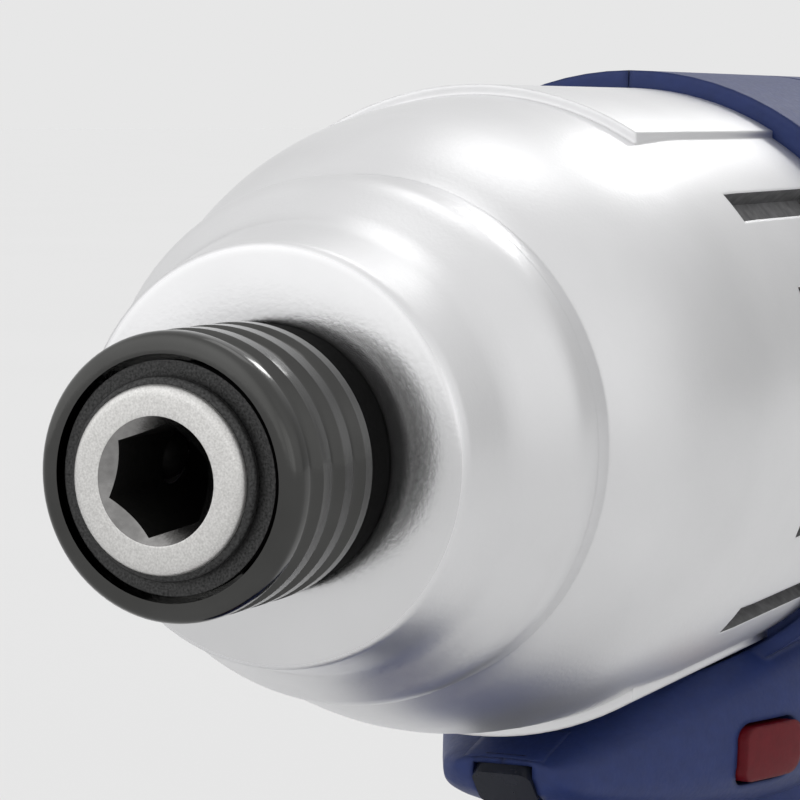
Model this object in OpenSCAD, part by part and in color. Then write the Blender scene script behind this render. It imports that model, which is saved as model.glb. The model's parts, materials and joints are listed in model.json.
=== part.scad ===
// Cordless impact driver with a quick-release hex socket and a slide-on battery pack.
// Frame: +X runs forward along the spindle, +Y to the operator's left, +Z up.
// The origin is the middle of the battery's flat base, and lengths are in millimetres.
// Pieces of the head are drawn about the spindle: their z is the distance behind the
// anvil's tip, their x is up and their y is left. on_spindle() puts them in place.

/* [Bit holder] */
// Width across the flats of the bit socket
bit_af = 6.4; // [6.35:0.05:6.6]
// Depth of the bit socket
bit_depth = 26; // [20:1:30]
// Diameter of the anvil's shank
shank_d = 12; // [11.6:0.1:12.4]
// Outer diameter of the quick-release sleeve
sleeve_d = 18.5; // [18.2:0.1:19.5]
// Length of the sleeve
sleeve_l = 11; // [10.6:0.1:11.6]
// Distance of the sleeve's rim behind the anvil's tip
sleeve_set = 1.4; // [1:0.1:2]
// Forward travel that frees the bit
sleeve_travel = 3.2; // [2:0.1:3.4]

/* [Hammer case] */
// Largest outer diameter of the case
case_d = 49; // [48.4:0.1:51]
// Diameter of the case's front edge
case_nose_d = 28.8; // [26:0.2:30]
// Distance of the case's front face behind the anvil's tip
case_front = 15.6; // [15:0.1:17]
// Number of slots round the rear of the case
case_slots = 10; // [6:1:14]

/* [Impact mechanism] */
// Diameter of the hammer
hammer_d = 40.4; // [38:0.1:40.6]
// Length of the hammer's body
hammer_l = 16.5; // [15:0.1:17]
// Diameter of the spindle
spindle_d = 16; // [15:0.1:17]
// Length of the hammer spring at rest
hammer_spring_l = 13.5; // [13:0.1:15]
// Wire diameter of the hammer spring
hammer_wire = 2; // [1.6:0.1:2.2]

/* [Gears] */
// Gear module
gear_module = 0.75; // [0.7:0.01:0.76]
// Width of the gears
gear_w = 6; // [5:0.1:7]

/* [Motor] */
// Outer diameter of the stator
stator_d = 42; // [40:0.1:43]
// Length of the stator's stack
stator_l = 20; // [18:0.1:21]
// Diameter of the motor shaft
motor_shaft_d = 5; // [4.8:0.1:5.2]

/* [Housing] */
// Height of the spindle above the base
axis_h = 172; // [168:1:180]
// Distance from the anvil's tip to the back of the housing
head_l = 138; // [136:0.5:142]
// Distance of the anvil's tip in front of the base's middle
nose_reach = 100; // [96:0.5:104]
// Outer diameter of the motor barrel
barrel_d = 53; // [52.4:0.1:56]
// Wall of the housing
housing_wall = 2.6; // [2.2:0.1:3]
// Width of the grip
grip_w = 34; // [32:0.5:38]
// Thickness of the rubber on the grip
rubber_t = 1.4; // [1:0.1:1.6]

/* [Controls] */
// Travel of the trigger
trigger_travel = 6.5; // [4:0.1:7]
// Width of the trigger
trigger_w = 18; // [15:0.5:20]
// Travel of the direction switch to each side
direction_travel = 2; // [1.5:0.1:2.5]

/* [Battery] */
// Height of the battery pack below the foot
pack_h = 42; // [40:0.5:48]
// Diameter of a cell
cell_d = 18.2; // [17.8:0.1:18.4]
// Length of a cell
cell_l = 65; // [60:0.5:65.2]

/* [Hidden] */

// Clearances and the overrun shared by every cut
run_gap = 0.05;
seat_gap = 0.02;
slide_gap = 0.35;
axial_gap = 0.25;
cut = 1;
fine = 96;
round_fn = 48;
hull_fn = 32;
hex_fn = 6;
coil_steps = 8;
wire_sides = 6;

// Bit holder
shank_r = shank_d / 2;
sleeve_r = sleeve_d / 2;
mouth_share = 0.64;
mouth_r = bit_af * mouth_share;
shank_edge = 0.6;
anvil_turn_angle = 10.7;
wire_r = 0.5;
wire_s = 1.25;
washer_t = 0.8;
washer_rim = 1.45;
washer_s = wire_s + wire_r + seat_gap;
sleeve_wall = 1.4;
sleeve_bore_r = sleeve_r - sleeve_wall;
sleeve_edge = 0.9;
sleeve_end_s = sleeve_set + sleeve_l;
land_l = 1.6;
spring_slack = 0.16;
seat_step = 0.25;
skirt_bore_r = sleeve_bore_r - seat_step;
sleeve_wire = 0.6;
sleeve_turns = 2.2;
land_s0 = washer_s + washer_t + sleeve_travel + sleeve_wire * (sleeve_turns + 1) + spring_slack;
land_s1 = land_s0 + land_l;
ball_r = 1.75;
ball_s = (land_s0 + land_s1) / 2;
ball_ring_r = shank_r - ball_r;
rib_count = 3;
rib_depth = 0.55;
rib_width_share = 0.62;
rib_lead_share = 0.5;
rib_set_share = 0.2;
sleeve_coil_r = (shank_r + sleeve_bore_r) / 2;

// Hammer case, from its front face to the spigot that the housing clamps
case_r = case_d / 2;
nose_r = case_nose_d / 2;
seal_sink = 0.8;
seal_step = 0.35;
seal_r = sleeve_r - seal_step;
seal_bore_r = shank_r + slide_gap;
seal_s0 = sleeve_end_s + slide_gap;
seal_s1 = case_front + seal_sink;
lip_t = 0.8;
bush_s0 = seal_s1 + lip_t;
bush_l = 14.4;
bush_s1 = bush_s0 + bush_l;
bush_wall = 2.6;
bush_r = shank_r + bush_wall;
chamber_s0 = bush_s1 + lip_t;
hammer_gap = 0.45;
chamber_r = hammer_d / 2 + hammer_gap;
spigot_step = 0.9;
spigot_r = case_r - spigot_step;
spigot_l = 6.5;
spigot_groove_l = 2;
spigot_groove_t = 0.9;
case_end_s = 91;
visible_end_s = case_end_s - spigot_l;
bell_set = 15.6;
bell_s0 = case_front + bell_set;
bell_l = 28.5;
bell_curve = 3.75;
bell_steps = 12;
bell_spacing = 1.5;
step_share = 0.41;
pad_w = 26;
pad_t = 0.5;
pad_start_share = 0.7;
pad_s0 = bell_s0 + bell_l * pad_start_share;
slot_w = 2.6;
slot_depth = 1.6;
slot_s0 = 57;
slot_step_angle = 20;
slot_stagger = 4;

// Anvil, hammer and spindle
anvil_washer_t = 1;
anvil_washer_rim = 4.4;
anvil_washer_r = shank_r + anvil_washer_rim;
hub_s0 = chamber_s0 + anvil_washer_t + axial_gap;
wing_l = 7.4;
hub_s1 = hub_s0 + wing_l;
hub_r = 9;
wing_step = 3.9;
wing_r = hammer_d / 2 - wing_step;
wing_gap = 0.8;
wing_half_angle = 20;
lug_half_angle = 22;
lug_slack_angle = 1.4;
hub_gap = 1.4;
lug_in_r = hub_r + hub_gap;
lug_engage = 4.8;
face_gap = 1.6;
hammer_s0 = hub_s1 + face_gap;
hammer_s1 = hammer_s0 + hammer_l;
hammer_lead_angle = 90 + anvil_turn_angle - wing_half_angle - lug_half_angle - lug_slack_angle;
spindle_r = spindle_d / 2;
hammer_hub_t = 2.2;
hammer_rim_t = 3;
pocket_set = 6.5;
pocket_s0 = hammer_s0 + pocket_set;
pocket_r0 = spindle_r + hammer_hub_t;
pocket_r1 = hammer_d / 2 - hammer_rim_t;
pocket_mid_r = (pocket_r0 + pocket_r1) / 2;
thrust_r = 1;
thrust_count = 18;
thrust_plate_t = 1.2;
plate_s = pocket_s0 + 2 * thrust_r + seat_gap;
spring_s0 = plate_s + thrust_plate_t + seat_gap;
spring_s1 = spring_s0 + hammer_spring_l;
hammer_turns = 2.4;
cam_ball_r = 2.6;
cam_ball_set = 3.4;
cam_ball_s = hammer_s0 + cam_ball_set;
pilot_r = 3.4;
pilot_l = 5;
pilot_end_gap = 0.8;
spindle_s0 = hub_s1 + pilot_end_gap;
flange_t = 3;
flange_s0 = spring_s1 + seat_gap;
flange_s1 = flange_s0 + flange_t;

// Planetary stage: the ring is fixed and the carrier drives the spindle
sun_teeth = 12;
planet_teeth = 18;
ring_teeth = sun_teeth + 2 * planet_teeth;
planet_count = 3;
pressure_angle = 25;
addendum_share = 0.8;
dedendum_share = 1.05;
backlash = 0.14;
gear_gap = 0.4;
orbit_r = gear_module * (sun_teeth + planet_teeth) / 2;
gear_s0 = flange_s1 + gear_gap;
gear_s1 = gear_s0 + gear_w;
pin_r = 2;
ring_rim = 2.2;
ring_root_r = gear_module * (ring_teeth / 2 + dedendum_share);
ring_r = ring_root_r + ring_rim;
ring_s0 = gear_s0 - gear_gap / 2;
ring_s1 = gear_s1 + gear_gap;
carrier_r = gear_module * (ring_teeth / 2 - addendum_share) - slide_gap;
plate_t = 2;
plate_s0 = gear_s1 + gear_gap;
plate_s1 = plate_s0 + plate_t;
carrier_hub_r = 8.5;
carrier_bore_r = gear_module * (sun_teeth / 2 + addendum_share) + slide_gap;
bearing_wall = 4.5;
carrier_bearing_r = carrier_hub_r + bearing_wall;
carrier_bearing_w = 5;
carrier_bearing_s0 = plate_s1 + gear_gap;
carrier_bearing_s1 = carrier_bearing_s0 + carrier_bearing_w;
cover_wall = 1.5;
cover_s1 = carrier_bearing_s1 + cover_wall;

// Motor
race_share = 0.25;
shield_share = 0.1;
motor_shaft_r = motor_shaft_d / 2;
motor_bearing_r = 6.5;
motor_bearing_w = 4;
motor_boss_r = 9;
motor_bearing_s0 = cover_s1 + seat_gap;
motor_bearing_s1 = motor_bearing_s0 + motor_bearing_w;
coil_reach = 3.6;
coil_gap = 1.1;
stator_s0 = motor_bearing_s1 + coil_gap + coil_reach;
stator_s1 = stator_s0 + stator_l;
stator_r = stator_d / 2;
yoke_t = 3;
tooth_w = 4.6;
tooth_count = 6;
shoe_t = 1.4;
shoe_half_angle = 23;
air_gap = 0.5;
rotor_r = 10.4;
magnet_t = 1.6;
magnet_half_angle = 40;
stator_bore_r = rotor_r + air_gap;
coil_w = 9;
coil_end_s = stator_s1 + coil_reach;
fan_s0 = coil_end_s + coil_gap;
fan_w = 5.6;
fan_r = 19;
fan_hub_r = 5;
fan_plate_t = 1.2;
fan_blades = 11;
fan_blade_t = 1.1;
fan_sweep_r = 18;
rear_bearing_s0 = fan_s0 + fan_w + coil_gap;
rear_bearing_s1 = rear_bearing_s0 + motor_bearing_w;

// Housing: barrel, grip, foot and the chin under the hammer case
tip_x = nose_reach;
barrel_r = barrel_d / 2;
bay_r = barrel_r - housing_wall;
rear_wall_t = 4;
rear_wall_s = head_l - rear_wall_t;
rear_round = 6;
cap_l = 20;
cap_groove_w = 1.2;
cap_groove_t = 0.6;
stator_rib_w = 2;
seam_gap = 0.4;
lower_z0 = pack_h + seam_gap;
lower_h = axis_h - lower_z0;
foot_front_share = 0.43;
cell_count = 5;
cell_gap = 0.5;
cell_pitch = cell_d + cell_gap;

// Battery
pack_end = 8.25;
pack_l = cell_count * cell_pitch + 2 * pack_end;
foot_front = pack_l * foot_front_share;
foot_rear_share = 0.455;
foot_rear = pack_l * foot_rear_share;
foot_inset = 3;
strap_t = 0.2;
pack_wall = 2.2;
cell_end_gap = 0.1;
pack_w = cell_l + 2 * (strap_t + pack_wall + cell_end_gap);
foot_w = pack_w - foot_inset;
grip_front = 8;
grip_rear = 34;
neck_front = 22;
neck_rear = 36;
neck_w = 36;
grip_square = 2.5;
foot_square = 5;
loft_sides = 48;
// Height, share of the foot's size and share of the neck's size at each level
lower_shares = [
    [0, 1, 0], [0.075, 1, 0], [0.1, 0.95, 0], [0.12, 0.86, 0], [0.14, 0.725, 0], [0.16, 0.575, 0],
    [0.182, 0.42, 0], [0.205, 0.29, 0], [0.235, 0.17, 0], [0.27, 0.085, 0], [0.36, 0, 0], [0.5, 0, 0.06],
    [0.62, 0, 0.22], [0.72, 0, 0.5], [0.8, 0, 0.82], [0.86, 0, 1], [0.93, 0, 1]
];
chin_s = 57;
chin_l = 46;
chin_w = 36.8;
chin_top = 24.6;
chin_deep = 12.4;
chin_square = 3;
chin_hollow_row = 3;
// Length share, drop share of the top, drop share of the bottom and width share from the tip
chin_shares = [
    [0, 0.27, 0.38, 0.22], [0.025, 0.24, 0.5, 0.3], [0.065, 0.21, 0.58, 0.345], [0.15, 0.14, 0.68, 0.44],
    [0.31, -0.05, 0.855, 0.61], [0.52, -0.25, 0.97, 0.82], [0.69, -0.4, 1, 0.95], [1, -0.4, 1, 0.94]
];
// Side view of the housing's front edge: distance behind the tip and height over the axis
edge_top_s = 85;
edge_side_s = 83.5;
edge_low_s = 83;
edge_high = 14;
edge_low = -20;

// Fasteners of the housing, as x and z of each screw
screw_r = 1.5;
screw_head_r = 3;
screw_head_t = 2.2;
screw_l = 22;
boss_r = 3.5;
screw_set = 3;
foot_screw_lift = 14;
foot_screw_z = lower_z0 + foot_screw_lift;
chin_screw_share = 0.692;
rear_screw_in = 9;
mid_screw_share = 0.42;
foot_screw_in = 12;
screw_places = [
    [tip_x - chin_s - chin_l * chin_screw_share, axis_h - chin_top - chin_deep / 2],
    [-grip_rear + rear_screw_in, axis_h - chin_top - chin_deep],
    [-grip_rear + rear_screw_in, lower_z0 + lower_h * mid_screw_share],
    [-foot_rear + foot_screw_in, foot_screw_z],
    [foot_front - foot_screw_in, foot_screw_z]
];

// Controls
trigger_h = 24;
trigger_gap = 1.2;
trigger_z = axis_h - chin_top - chin_deep - trigger_gap - trigger_h / 2;
trigger_reach = 19;
trigger_out = 6;
trigger_front = neck_front + trigger_out;
trigger_back = trigger_front - trigger_reach;
trigger_wall = 2.2;
trigger_round = 4;
trigger_edge = 2.5;
finger_r = 16;
finger_depth = 3;
switch_l = 22;
switch_w = 15;
switch_h = 26;
switch_gap = 0.6;
shelf_l = 12;
shelf_t = 1.6;
switch_front = trigger_back - trigger_travel - switch_gap;
stem_r = 2.4;
trigger_wire = 0.7;
trigger_turns = 5;
trigger_coil_r = stem_r + trigger_wire + slide_gap;
direction_l = 7;
direction_h = 4.6;
direction_round = 1.2;
direction_s = 80;
direction_x = tip_x - direction_s;
direction_share = 0.45;
direction_z = axis_h - chin_top - chin_deep * direction_share;
direction_out_share = 0.3;
direction_out = direction_travel * direction_out_share;
lens_l = 4;
lens_t = 2;
lens_w = 5;
lens_tilt_angle = 130;
lens_length_share = 0.029;
lens_x = tip_x - chin_s - chin_l * lens_length_share;
lens_drop_share = 0.42;
lens_z = axis_h - chin_top - chin_deep * lens_drop_share;

// Foot and its rails
rail_h = 8.5;
rail_lip_h = 3;
rail_in = 3;
rail_half = 23;
rail_stop_share = 0.28;
rail_stop_x = -pack_l * rail_stop_share;
board_l = 52;
board_margin = 2.9;
insert_sink = 1.6;
insert_l = 8;
board_w = foot_w - 2 * (insert_sink + insert_l + board_margin);
board_t = 1.6;
foot_floor = lower_z0 + rail_h + housing_wall;
board_z = foot_floor + seat_gap;
block_l = 16;
block_w = 34;
block_h = 7;
block_x = rail_stop_x + block_l / 2 + seat_gap;
block_z = lower_z0 + rail_h - block_h;
blade_t = 1;
blade_h = 5;
blade_l = 14;
blade_pitch = 8;
blade_count = 4;
blade_rows = [for (i = [0:blade_count - 1]) (i - (blade_count - 1) / 2) * blade_pitch];
insert_r = 3;
insert_bore_r = 1.65;
insert_share = 0.22;
insert_x = -pack_l * insert_share;
insert_lift = 12;
insert_z = lower_z0 + insert_lift;
tray_share = 0.56;
tray_h = pack_h * tray_share;
pack_corner = 8;
pack_edge = 3;
pack_groove_count = 7;
pack_groove_pitch = 6;
pack_groove_r = 1.6;
pack_groove_depth = 0.8;
pack_groove_z = 5;
cell_rows = [for (i = [0:cell_count - 1]) (i - (cell_count - 1) / 2) * cell_pitch];
cell_z = pack_wall + slide_gap + cell_d / 2;
holder_t = 6;
strap_w = 8;
pack_board_t = 1.6;
pack_board_lift = 4;
pack_board_z = cell_z + cell_d / 2 + pack_board_lift;
tower_share = 0.66;
tower_l = pack_l * tower_share;
tower_x0 = rail_stop_x + slide_gap;
tower_h = rail_h - slide_gap;
clip_l = 12;
clip_h = 6;
latch_w = 26;
latch_t = 7;
latch_h = 16;
latch_travel = 2.5;
latch_sink = 0.3;
latch_front = pack_l / 2 - latch_sink;
latch_back = latch_front - latch_t;
latch_x = (latch_front + latch_back) / 2;
latch_z = pack_h - latch_h;
latch_flange = 1.6;
latch_flange_t = 2.2;
latch_bore = 6;
latch_ridges = 3;
latch_ridge_pitch = 3;
latch_ridge_r = 0.9;
latch_ridge_t = 0.5;
well_wall = 1.6;
latch_coil_r = 2.2;
latch_wire = 0.6;
latch_turns = 4;
pack_post_r = 2.1;
pack_post_sink = 0.6;
pack_screw_x = pack_l / 2 - pack_wall - pack_post_r + pack_post_sink;
pack_screw_share = 0.6;
pack_screw_y = pack_w / 2 * pack_screw_share;
pack_screw_r = 1.1;
pack_head_r = 2;
pack_head_t = 1.3;
pack_head_sink = 0.5;
pack_screw_reach = 8;
nose_flare = 1.2;
nose_l = 6;
shoulder = 4;
shoulder_angle = 40;
groove_l = 2.6;
groove_t = 0.3;
ring_phase = 1 - planet_teeth % 2;
grip_low_share = 0.24;
grip_high_share = 0.7;
vent_step_angle = 13;
vent_w = 2.2;
vent_l = 6;

function mix(a, b, t) = a + (b - a) * t;
function arc(cx, cy, r, a0, a1, n) = [for (i = [0:n])
    let (a = mix(a0, a1, i / n)) [cx + r * cos(a), cy + r * sin(a)]];
function joined(lists) = [for (l = lists) each l];

// Frames and basic solids

module on_spindle() {
    translate([tip_x, 0, axis_h]) rotate([0, -90, 0]) children();
}

module tube(s0, s1, r1, r0) {
    rotate_extrude($fn = fine)
        polygon([[r0, s0], [r1, s0], [r1, s1], [r0, s1]]);
}

module disc(s0, s1, r) {
    translate([0, 0, s0]) cylinder(r = r, h = s1 - s0, $fn = fine);
}

module sector(r0, r1, half_angle) {
    reach = 2 * r1;
    intersection() {
        difference() {
            circle(r = r1, $fn = fine);
            circle(r = r0, $fn = fine);
        }
        polygon([
            [0, 0], [reach * cos(half_angle), -reach * sin(half_angle)],
            [reach * cos(half_angle), reach * sin(half_angle)]
        ]);
    }
}

module around(count, r) {
    for (i = [0:count - 1]) rotate([0, 0, i * 360 / count]) translate([r, 0, 0]) children();
}

module rounded_plate(l, w, h, r) {
    linear_extrude(h) {
        square([l - 2 * r, w], center = true);
        square([l, w - 2 * r], center = true);
        for (x = [-1, 1], y = [-1, 1]) translate([x * (l / 2 - r), y * (w / 2 - r)])
            circle(r = r, $fn = round_fn);
    }
}

// A block with rounded corners in plan and softened edges in both side views

module soft_block(l, w, h, r, edge) {
    intersection() {
        rounded_plate(l, w, h, r);
        translate([0, w / 2, h / 2]) rotate([90, 0, 0]) rounded_plate(l, h, w, edge);
        translate([-l / 2, 0, h / 2]) rotate([90, 0, 90]) rounded_plate(w, h, l, edge);
    }
}

module box(l, w, h) {
    translate([-l / 2, -w / 2, 0]) cube([l, w, h]);
}

// One closed skin over rings of points that all have the same count

module skin(rings) {
    n = len(rings[0]);
    last = len(rings) - 1;
    points = joined(rings);
    sides = [for (k = [0:last - 1], i = [0:n - 1]) let (j = (i + 1) % n, a = k * n, b = a + n)
        each [[a + i, b + i, a + j], [a + j, b + i, b + j]]];
    low = [for (i = [1:n - 2]) [0, i, i + 1]];
    high = [for (i = [1:n - 2]) [last * n, last * n + i + 1, last * n + i]];
    polyhedron(points = points, faces = concat(sides, low, high), convexity = 8);
}

// A helical spring along z, with the least gap between its turns printed

module coil_spring(length, coil_r, wire, turns, name) {
    steps = ceil(turns * coil_steps);
    rise = (length - wire) / turns;
    echo(str(name, " gap between turns"), rise - wire);
    ring = function (k) let (t = k / steps, a = 360 * turns * t) [for (i = [0:wire_sides - 1])
        let (b = 360 * i / wire_sides, r = coil_r + wire / 2 * cos(b))
        [r * cos(a), r * sin(a), wire / 2 + (length - wire) * t + wire / 2 * sin(b)]];
    skin([for (k = [0:steps]) ring(k)]);
}

// Involute gear outline; the tooth at angle 0 is centred on +x

function involute(r, roll) = let (arc_l = PI * roll / 180)
    r * [cos(roll) + arc_l * sin(roll), sin(roll) - arc_l * cos(roll)];
function roll_at(base, r) = sqrt(max(0, r * r / (base * base) - 1)) * 180 / PI;
function polar_of(p) = atan2(p[1], p[0]);
function turned(p, a) = [p[0] * cos(a) - p[1] * sin(a), p[0] * sin(a) + p[1] * cos(a)];

function flank(teeth, r0, r1, n) = let (base = gear_module * teeth / 2 * cos(pressure_angle))
    [for (i = [0:n]) let (r = mix(max(r0, base), r1, i / n)) involute(base, roll_at(base, r))];

function gear_outline(teeth, root, tip, thin) = let (
    pitch_r = gear_module * teeth / 2,
    base = pitch_r * cos(pressure_angle),
    half = 90 / teeth - thin / pitch_r * 90 / PI,
    lead = polar_of(involute(base, roll_at(base, pitch_r))),
    side = [for (p = flank(teeth, root, tip, 4)) turned(p, -half - lead)],
    foot = polar_of(side[0]),
    tooth = concat([[root * cos(foot), root * sin(foot)]], side,
        [for (i = [4:-1:0]) [side[i][0], -side[i][1]]], [[root * cos(foot), -root * sin(foot)]])
) [for (k = [0:teeth - 1], p = tooth) turned(p, k * 360 / teeth)];

module spur(teeth, spin) {
    root = gear_module * (teeth / 2 - dedendum_share);
    tip = gear_module * (teeth / 2 + addendum_share);
    rotate(spin) polygon(gear_outline(teeth, root, tip, backlash));
}

// Quick-release bit holder

module anvil() {
    color("silver") on_spindle() rotate(anvil_turn_angle) difference() {
        union() {
            rotate_extrude($fn = fine) polygon(joined([
                [[0, 0]], arc(shank_r - shank_edge, shank_edge, shank_edge, -90, 0, 4),
                [[shank_r, wire_s - wire_r - seat_gap], [shank_r - wire_r, wire_s - wire_r - seat_gap],
                 [shank_r - wire_r, wire_s + wire_r + seat_gap], [shank_r, wire_s + wire_r + seat_gap],
                 [shank_r, hub_s0], [hub_r, hub_s0], [hub_r, hub_s1], [0, hub_s1]]
            ]));
            for (a = [90, 270]) rotate(a) translate([0, 0, hub_s0]) linear_extrude(wing_l)
                sector(hub_r - cut, wing_r, wing_half_angle);
        }
        translate([0, 0, -cut]) cylinder(r = bit_af / 2 / cos(30), h = bit_depth + cut, $fn = hex_fn);
        translate([0, 0, -seat_gap]) cylinder(r1 = mouth_r, r2 = 0, h = mouth_r, $fn = fine);
        translate([0, 0, hub_s1 - pilot_l]) cylinder(r = pilot_r + run_gap, h = pilot_l + cut, $fn = fine);
        for (a = [90, 270]) rotate(a) translate([0, 0, ball_s]) rotate([0, 90, 0])
            cylinder(r = ball_r + run_gap, h = shank_d, $fn = round_fn);
    }
}

module snap_ring() {
    color("gray") on_spindle() translate([0, 0, wire_s]) rotate_extrude($fn = fine)
        translate([shank_r, 0]) circle(r = wire_r, $fn = hull_fn);
}

module sleeve_washer() {
    color("dimgray") on_spindle() tube(washer_s, washer_s + washer_t, shank_r + washer_rim, shank_r + seat_gap);
}

module detent_balls() {
    color("silver") on_spindle() for (a = [90, 270]) rotate(a + anvil_turn_angle)
        translate([ball_ring_r, 0, ball_s]) sphere(r = ball_r, $fn = round_fn);
}

module bit_sleeve() {
    pitch = sleeve_l / (rib_count + rib_lead_share);
    groove = pitch * rib_width_share / 2;
    groove_r = (groove * groove + rib_depth * rib_depth) / (2 * rib_depth);
    half = asin(groove / groove_r);
    grooves = [for (k = [1:rib_count]) let (s = sleeve_set + (k - rib_set_share) * pitch)
        each arc(sleeve_r + groove_r - rib_depth, s, groove_r, 180 + half, 180 - half, 5)];
    color("dimgray") on_spindle() rotate_extrude($fn = fine) polygon(joined([
        [[sleeve_bore_r, sleeve_set]],
        arc(sleeve_r - sleeve_edge, sleeve_set + sleeve_edge, sleeve_edge, -90, 0, 4),
        grooves,
        [[sleeve_r, sleeve_end_s - seat_step], [sleeve_r - seat_step, sleeve_end_s],
         [skirt_bore_r, sleeve_end_s], [skirt_bore_r, land_s1],
         [shank_r + run_gap, land_s1], [shank_r + run_gap, land_s0],
         [sleeve_bore_r, land_s0]]
    ]));
}

module sleeve_spring() {
    s0 = washer_s + washer_t + seat_gap;
    color("silver") on_spindle() translate([0, 0, s0])
        coil_spring(land_s0 - seat_gap - s0, sleeve_coil_r, sleeve_wire, sleeve_turns, "sleeve spring");
}

// Hammer case and what it holds

// Outline of the case from its front edge to the start of its straight rear part

function bell_rise(t) = (1 - exp(-bell_curve * t)) / (1 - exp(-bell_curve));

function case_outline() = let (step = mix(nose_r, case_r, step_share)) joined([
    arc(nose_r - lip_t, case_front + lip_t, lip_t, -90, 0, 3),
    [[nose_r + nose_flare, case_front + nose_l]],
    arc(step - shoulder, bell_s0 - shoulder, shoulder, -shoulder_angle, 0, 4),
    [[step, bell_s0 - groove_l], [step - groove_t, bell_s0 - groove_l + groove_t],
     [step - groove_t, bell_s0 - groove_t], [step + groove_t, bell_s0 + groove_t]],
    [for (k = [1:bell_steps]) let (t = pow(k / bell_steps, bell_spacing))
        [mix(step + groove_t, case_r, bell_rise(t)), bell_s0 + groove_t + bell_l * t]]
]);

module hammer_case() {
    groove_s0 = visible_end_s + spigot_groove_l;
    groove_s1 = groove_s0 + spigot_groove_l;
    groove_r = spigot_r - spigot_groove_t;
    side_slots = case_slots / 2;
    first_angle = 90 - slot_step_angle * (side_slots - 1) / 2;
    color("gainsboro") on_spindle() difference() {
        union() {
            rotate_extrude($fn = fine) polygon(joined([
                [[0, case_front]], case_outline(),
                [[case_r, visible_end_s], [spigot_r, visible_end_s],
                 [spigot_r, groove_s0], [groove_r, groove_s0],
                 [groove_r, groove_s1], [spigot_r, groove_s1], [spigot_r, case_end_s], [0, case_end_s]]
            ]));
            for (a = [0, 180]) rotate(a) intersection() {
                disc(pad_s0, visible_end_s, case_r + pad_t);
                translate([0, -pad_w / 2, pad_s0]) cube([case_d, pad_w, visible_end_s - pad_s0]);
            }
        }
        rotate_extrude($fn = fine) polygon([
            [0, case_front - cut], [seal_r + seat_gap, case_front - cut], [seal_r + seat_gap, seal_s1],
            [seal_bore_r, seal_s1], [seal_bore_r, bush_s0], [bush_r + seat_gap, bush_s0],
            [bush_r + seat_gap, chamber_s0], [wing_r + wing_gap, chamber_s0],
            [wing_r + wing_gap, hub_s1], [chamber_r, hub_s1 + (chamber_r - wing_r - wing_gap) / 2],
            [chamber_r, ring_s0], [ring_r + seat_gap, ring_s0], [ring_r + seat_gap, case_end_s + cut],
            [0, case_end_s + cut]
        ]);
        for (side = [-1, 1], k = [0:side_slots - 1]) rotate(side * (first_angle + slot_step_angle * k))
            translate([case_r - slot_depth, -slot_w / 2, slot_s0 + slot_stagger * (k % 2)])
                cube([slot_depth + cut, slot_w, visible_end_s - slot_s0 - slot_stagger - cut]);
    }
}

module nose_seal() {
    color("black") on_spindle() tube(seal_s0, seal_s1, seal_r, seal_bore_r);
}

module anvil_bush() {
    color("peru") on_spindle() tube(bush_s0, bush_s1, bush_r, shank_r + run_gap);
}

module anvil_washer() {
    color("dimgray") on_spindle()
        tube(chamber_s0, chamber_s0 + anvil_washer_t, anvil_washer_r, shank_r + slide_gap);
}

module hammer() {
    color("gray") on_spindle() rotate(hammer_lead_angle) difference() {
        union() {
            tube(hammer_s0, hammer_s1, hammer_d / 2, spindle_r + run_gap);
            for (a = [0, 180]) rotate(a) translate([0, 0, hammer_s0 - lug_engage - face_gap])
                linear_extrude(lug_engage + face_gap + cut) sector(lug_in_r, wing_r, lug_half_angle);
        }
        tube(pocket_s0, hammer_s1 + cut, pocket_r1, pocket_r0);
        for (a = [90, 270]) rotate(a) translate([spindle_r, 0, 0]) {
            translate([0, 0, hammer_s0 - cut])
                cylinder(r = cam_ball_r + slide_gap, h = cam_ball_set + cut, $fn = round_fn);
            translate([0, 0, cam_ball_s]) sphere(r = cam_ball_r + slide_gap, $fn = round_fn);
        }
    }
}

module cam_balls() {
    color("silver") on_spindle() rotate(hammer_lead_angle) for (a = [90, 270]) rotate(a)
        translate([spindle_r, 0, cam_ball_s]) sphere(r = cam_ball_r, $fn = round_fn);
}

module thrust_balls() {
    color("silver") on_spindle() translate([0, 0, pocket_s0 + thrust_r]) around(thrust_count, pocket_mid_r)
        sphere(r = thrust_r, $fn = round_fn);
}

module spring_washer() {
    color("dimgray") on_spindle()
        tube(plate_s, plate_s + thrust_plate_t, pocket_r1 - slide_gap, pocket_r0 + slide_gap);
}

module hammer_spring() {
    color("slategray") on_spindle() translate([0, 0, spring_s0])
        coil_spring(hammer_spring_l, pocket_mid_r, hammer_wire, hammer_turns, "hammer spring");
}

module pin_holes(r, s0, s1) {
    around(planet_count, orbit_r) disc(s0, s1, r);
}

module spindle() {
    color("gray") on_spindle() difference() {
        union() {
            disc(hub_s1 - pilot_l + pilot_end_gap, spindle_s0 + cut, pilot_r);
            disc(spindle_s0, flange_s0 + cut, spindle_r);
            disc(flange_s0, flange_s1, carrier_r);
        }
        pin_holes(pin_r + seat_gap, flange_s0 - cut, flange_s1 + cut);
        rotate(hammer_lead_angle) for (a = [90, 270]) rotate(a) translate([spindle_r, 0, cam_ball_s])
            sphere(r = cam_ball_r + seat_gap, $fn = round_fn);
    }
}

module planet_pins() {
    color("silver") on_spindle() pin_holes(pin_r, flange_s0 + seat_gap, plate_s1);
}

module carrier_plate() {
    color("darkgray") on_spindle() difference() {
        union() {
            disc(plate_s0, plate_s1, carrier_r);
            disc(plate_s0, carrier_bearing_s1 - axial_gap, carrier_hub_r);
        }
        disc(plate_s0 - cut, carrier_bearing_s1 + cut, carrier_bore_r);
        pin_holes(pin_r + seat_gap, plate_s0 - cut, plate_s1 + cut);
    }
}

// Each planet is turned so that its teeth fall in the gaps of the sun and the ring

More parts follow.
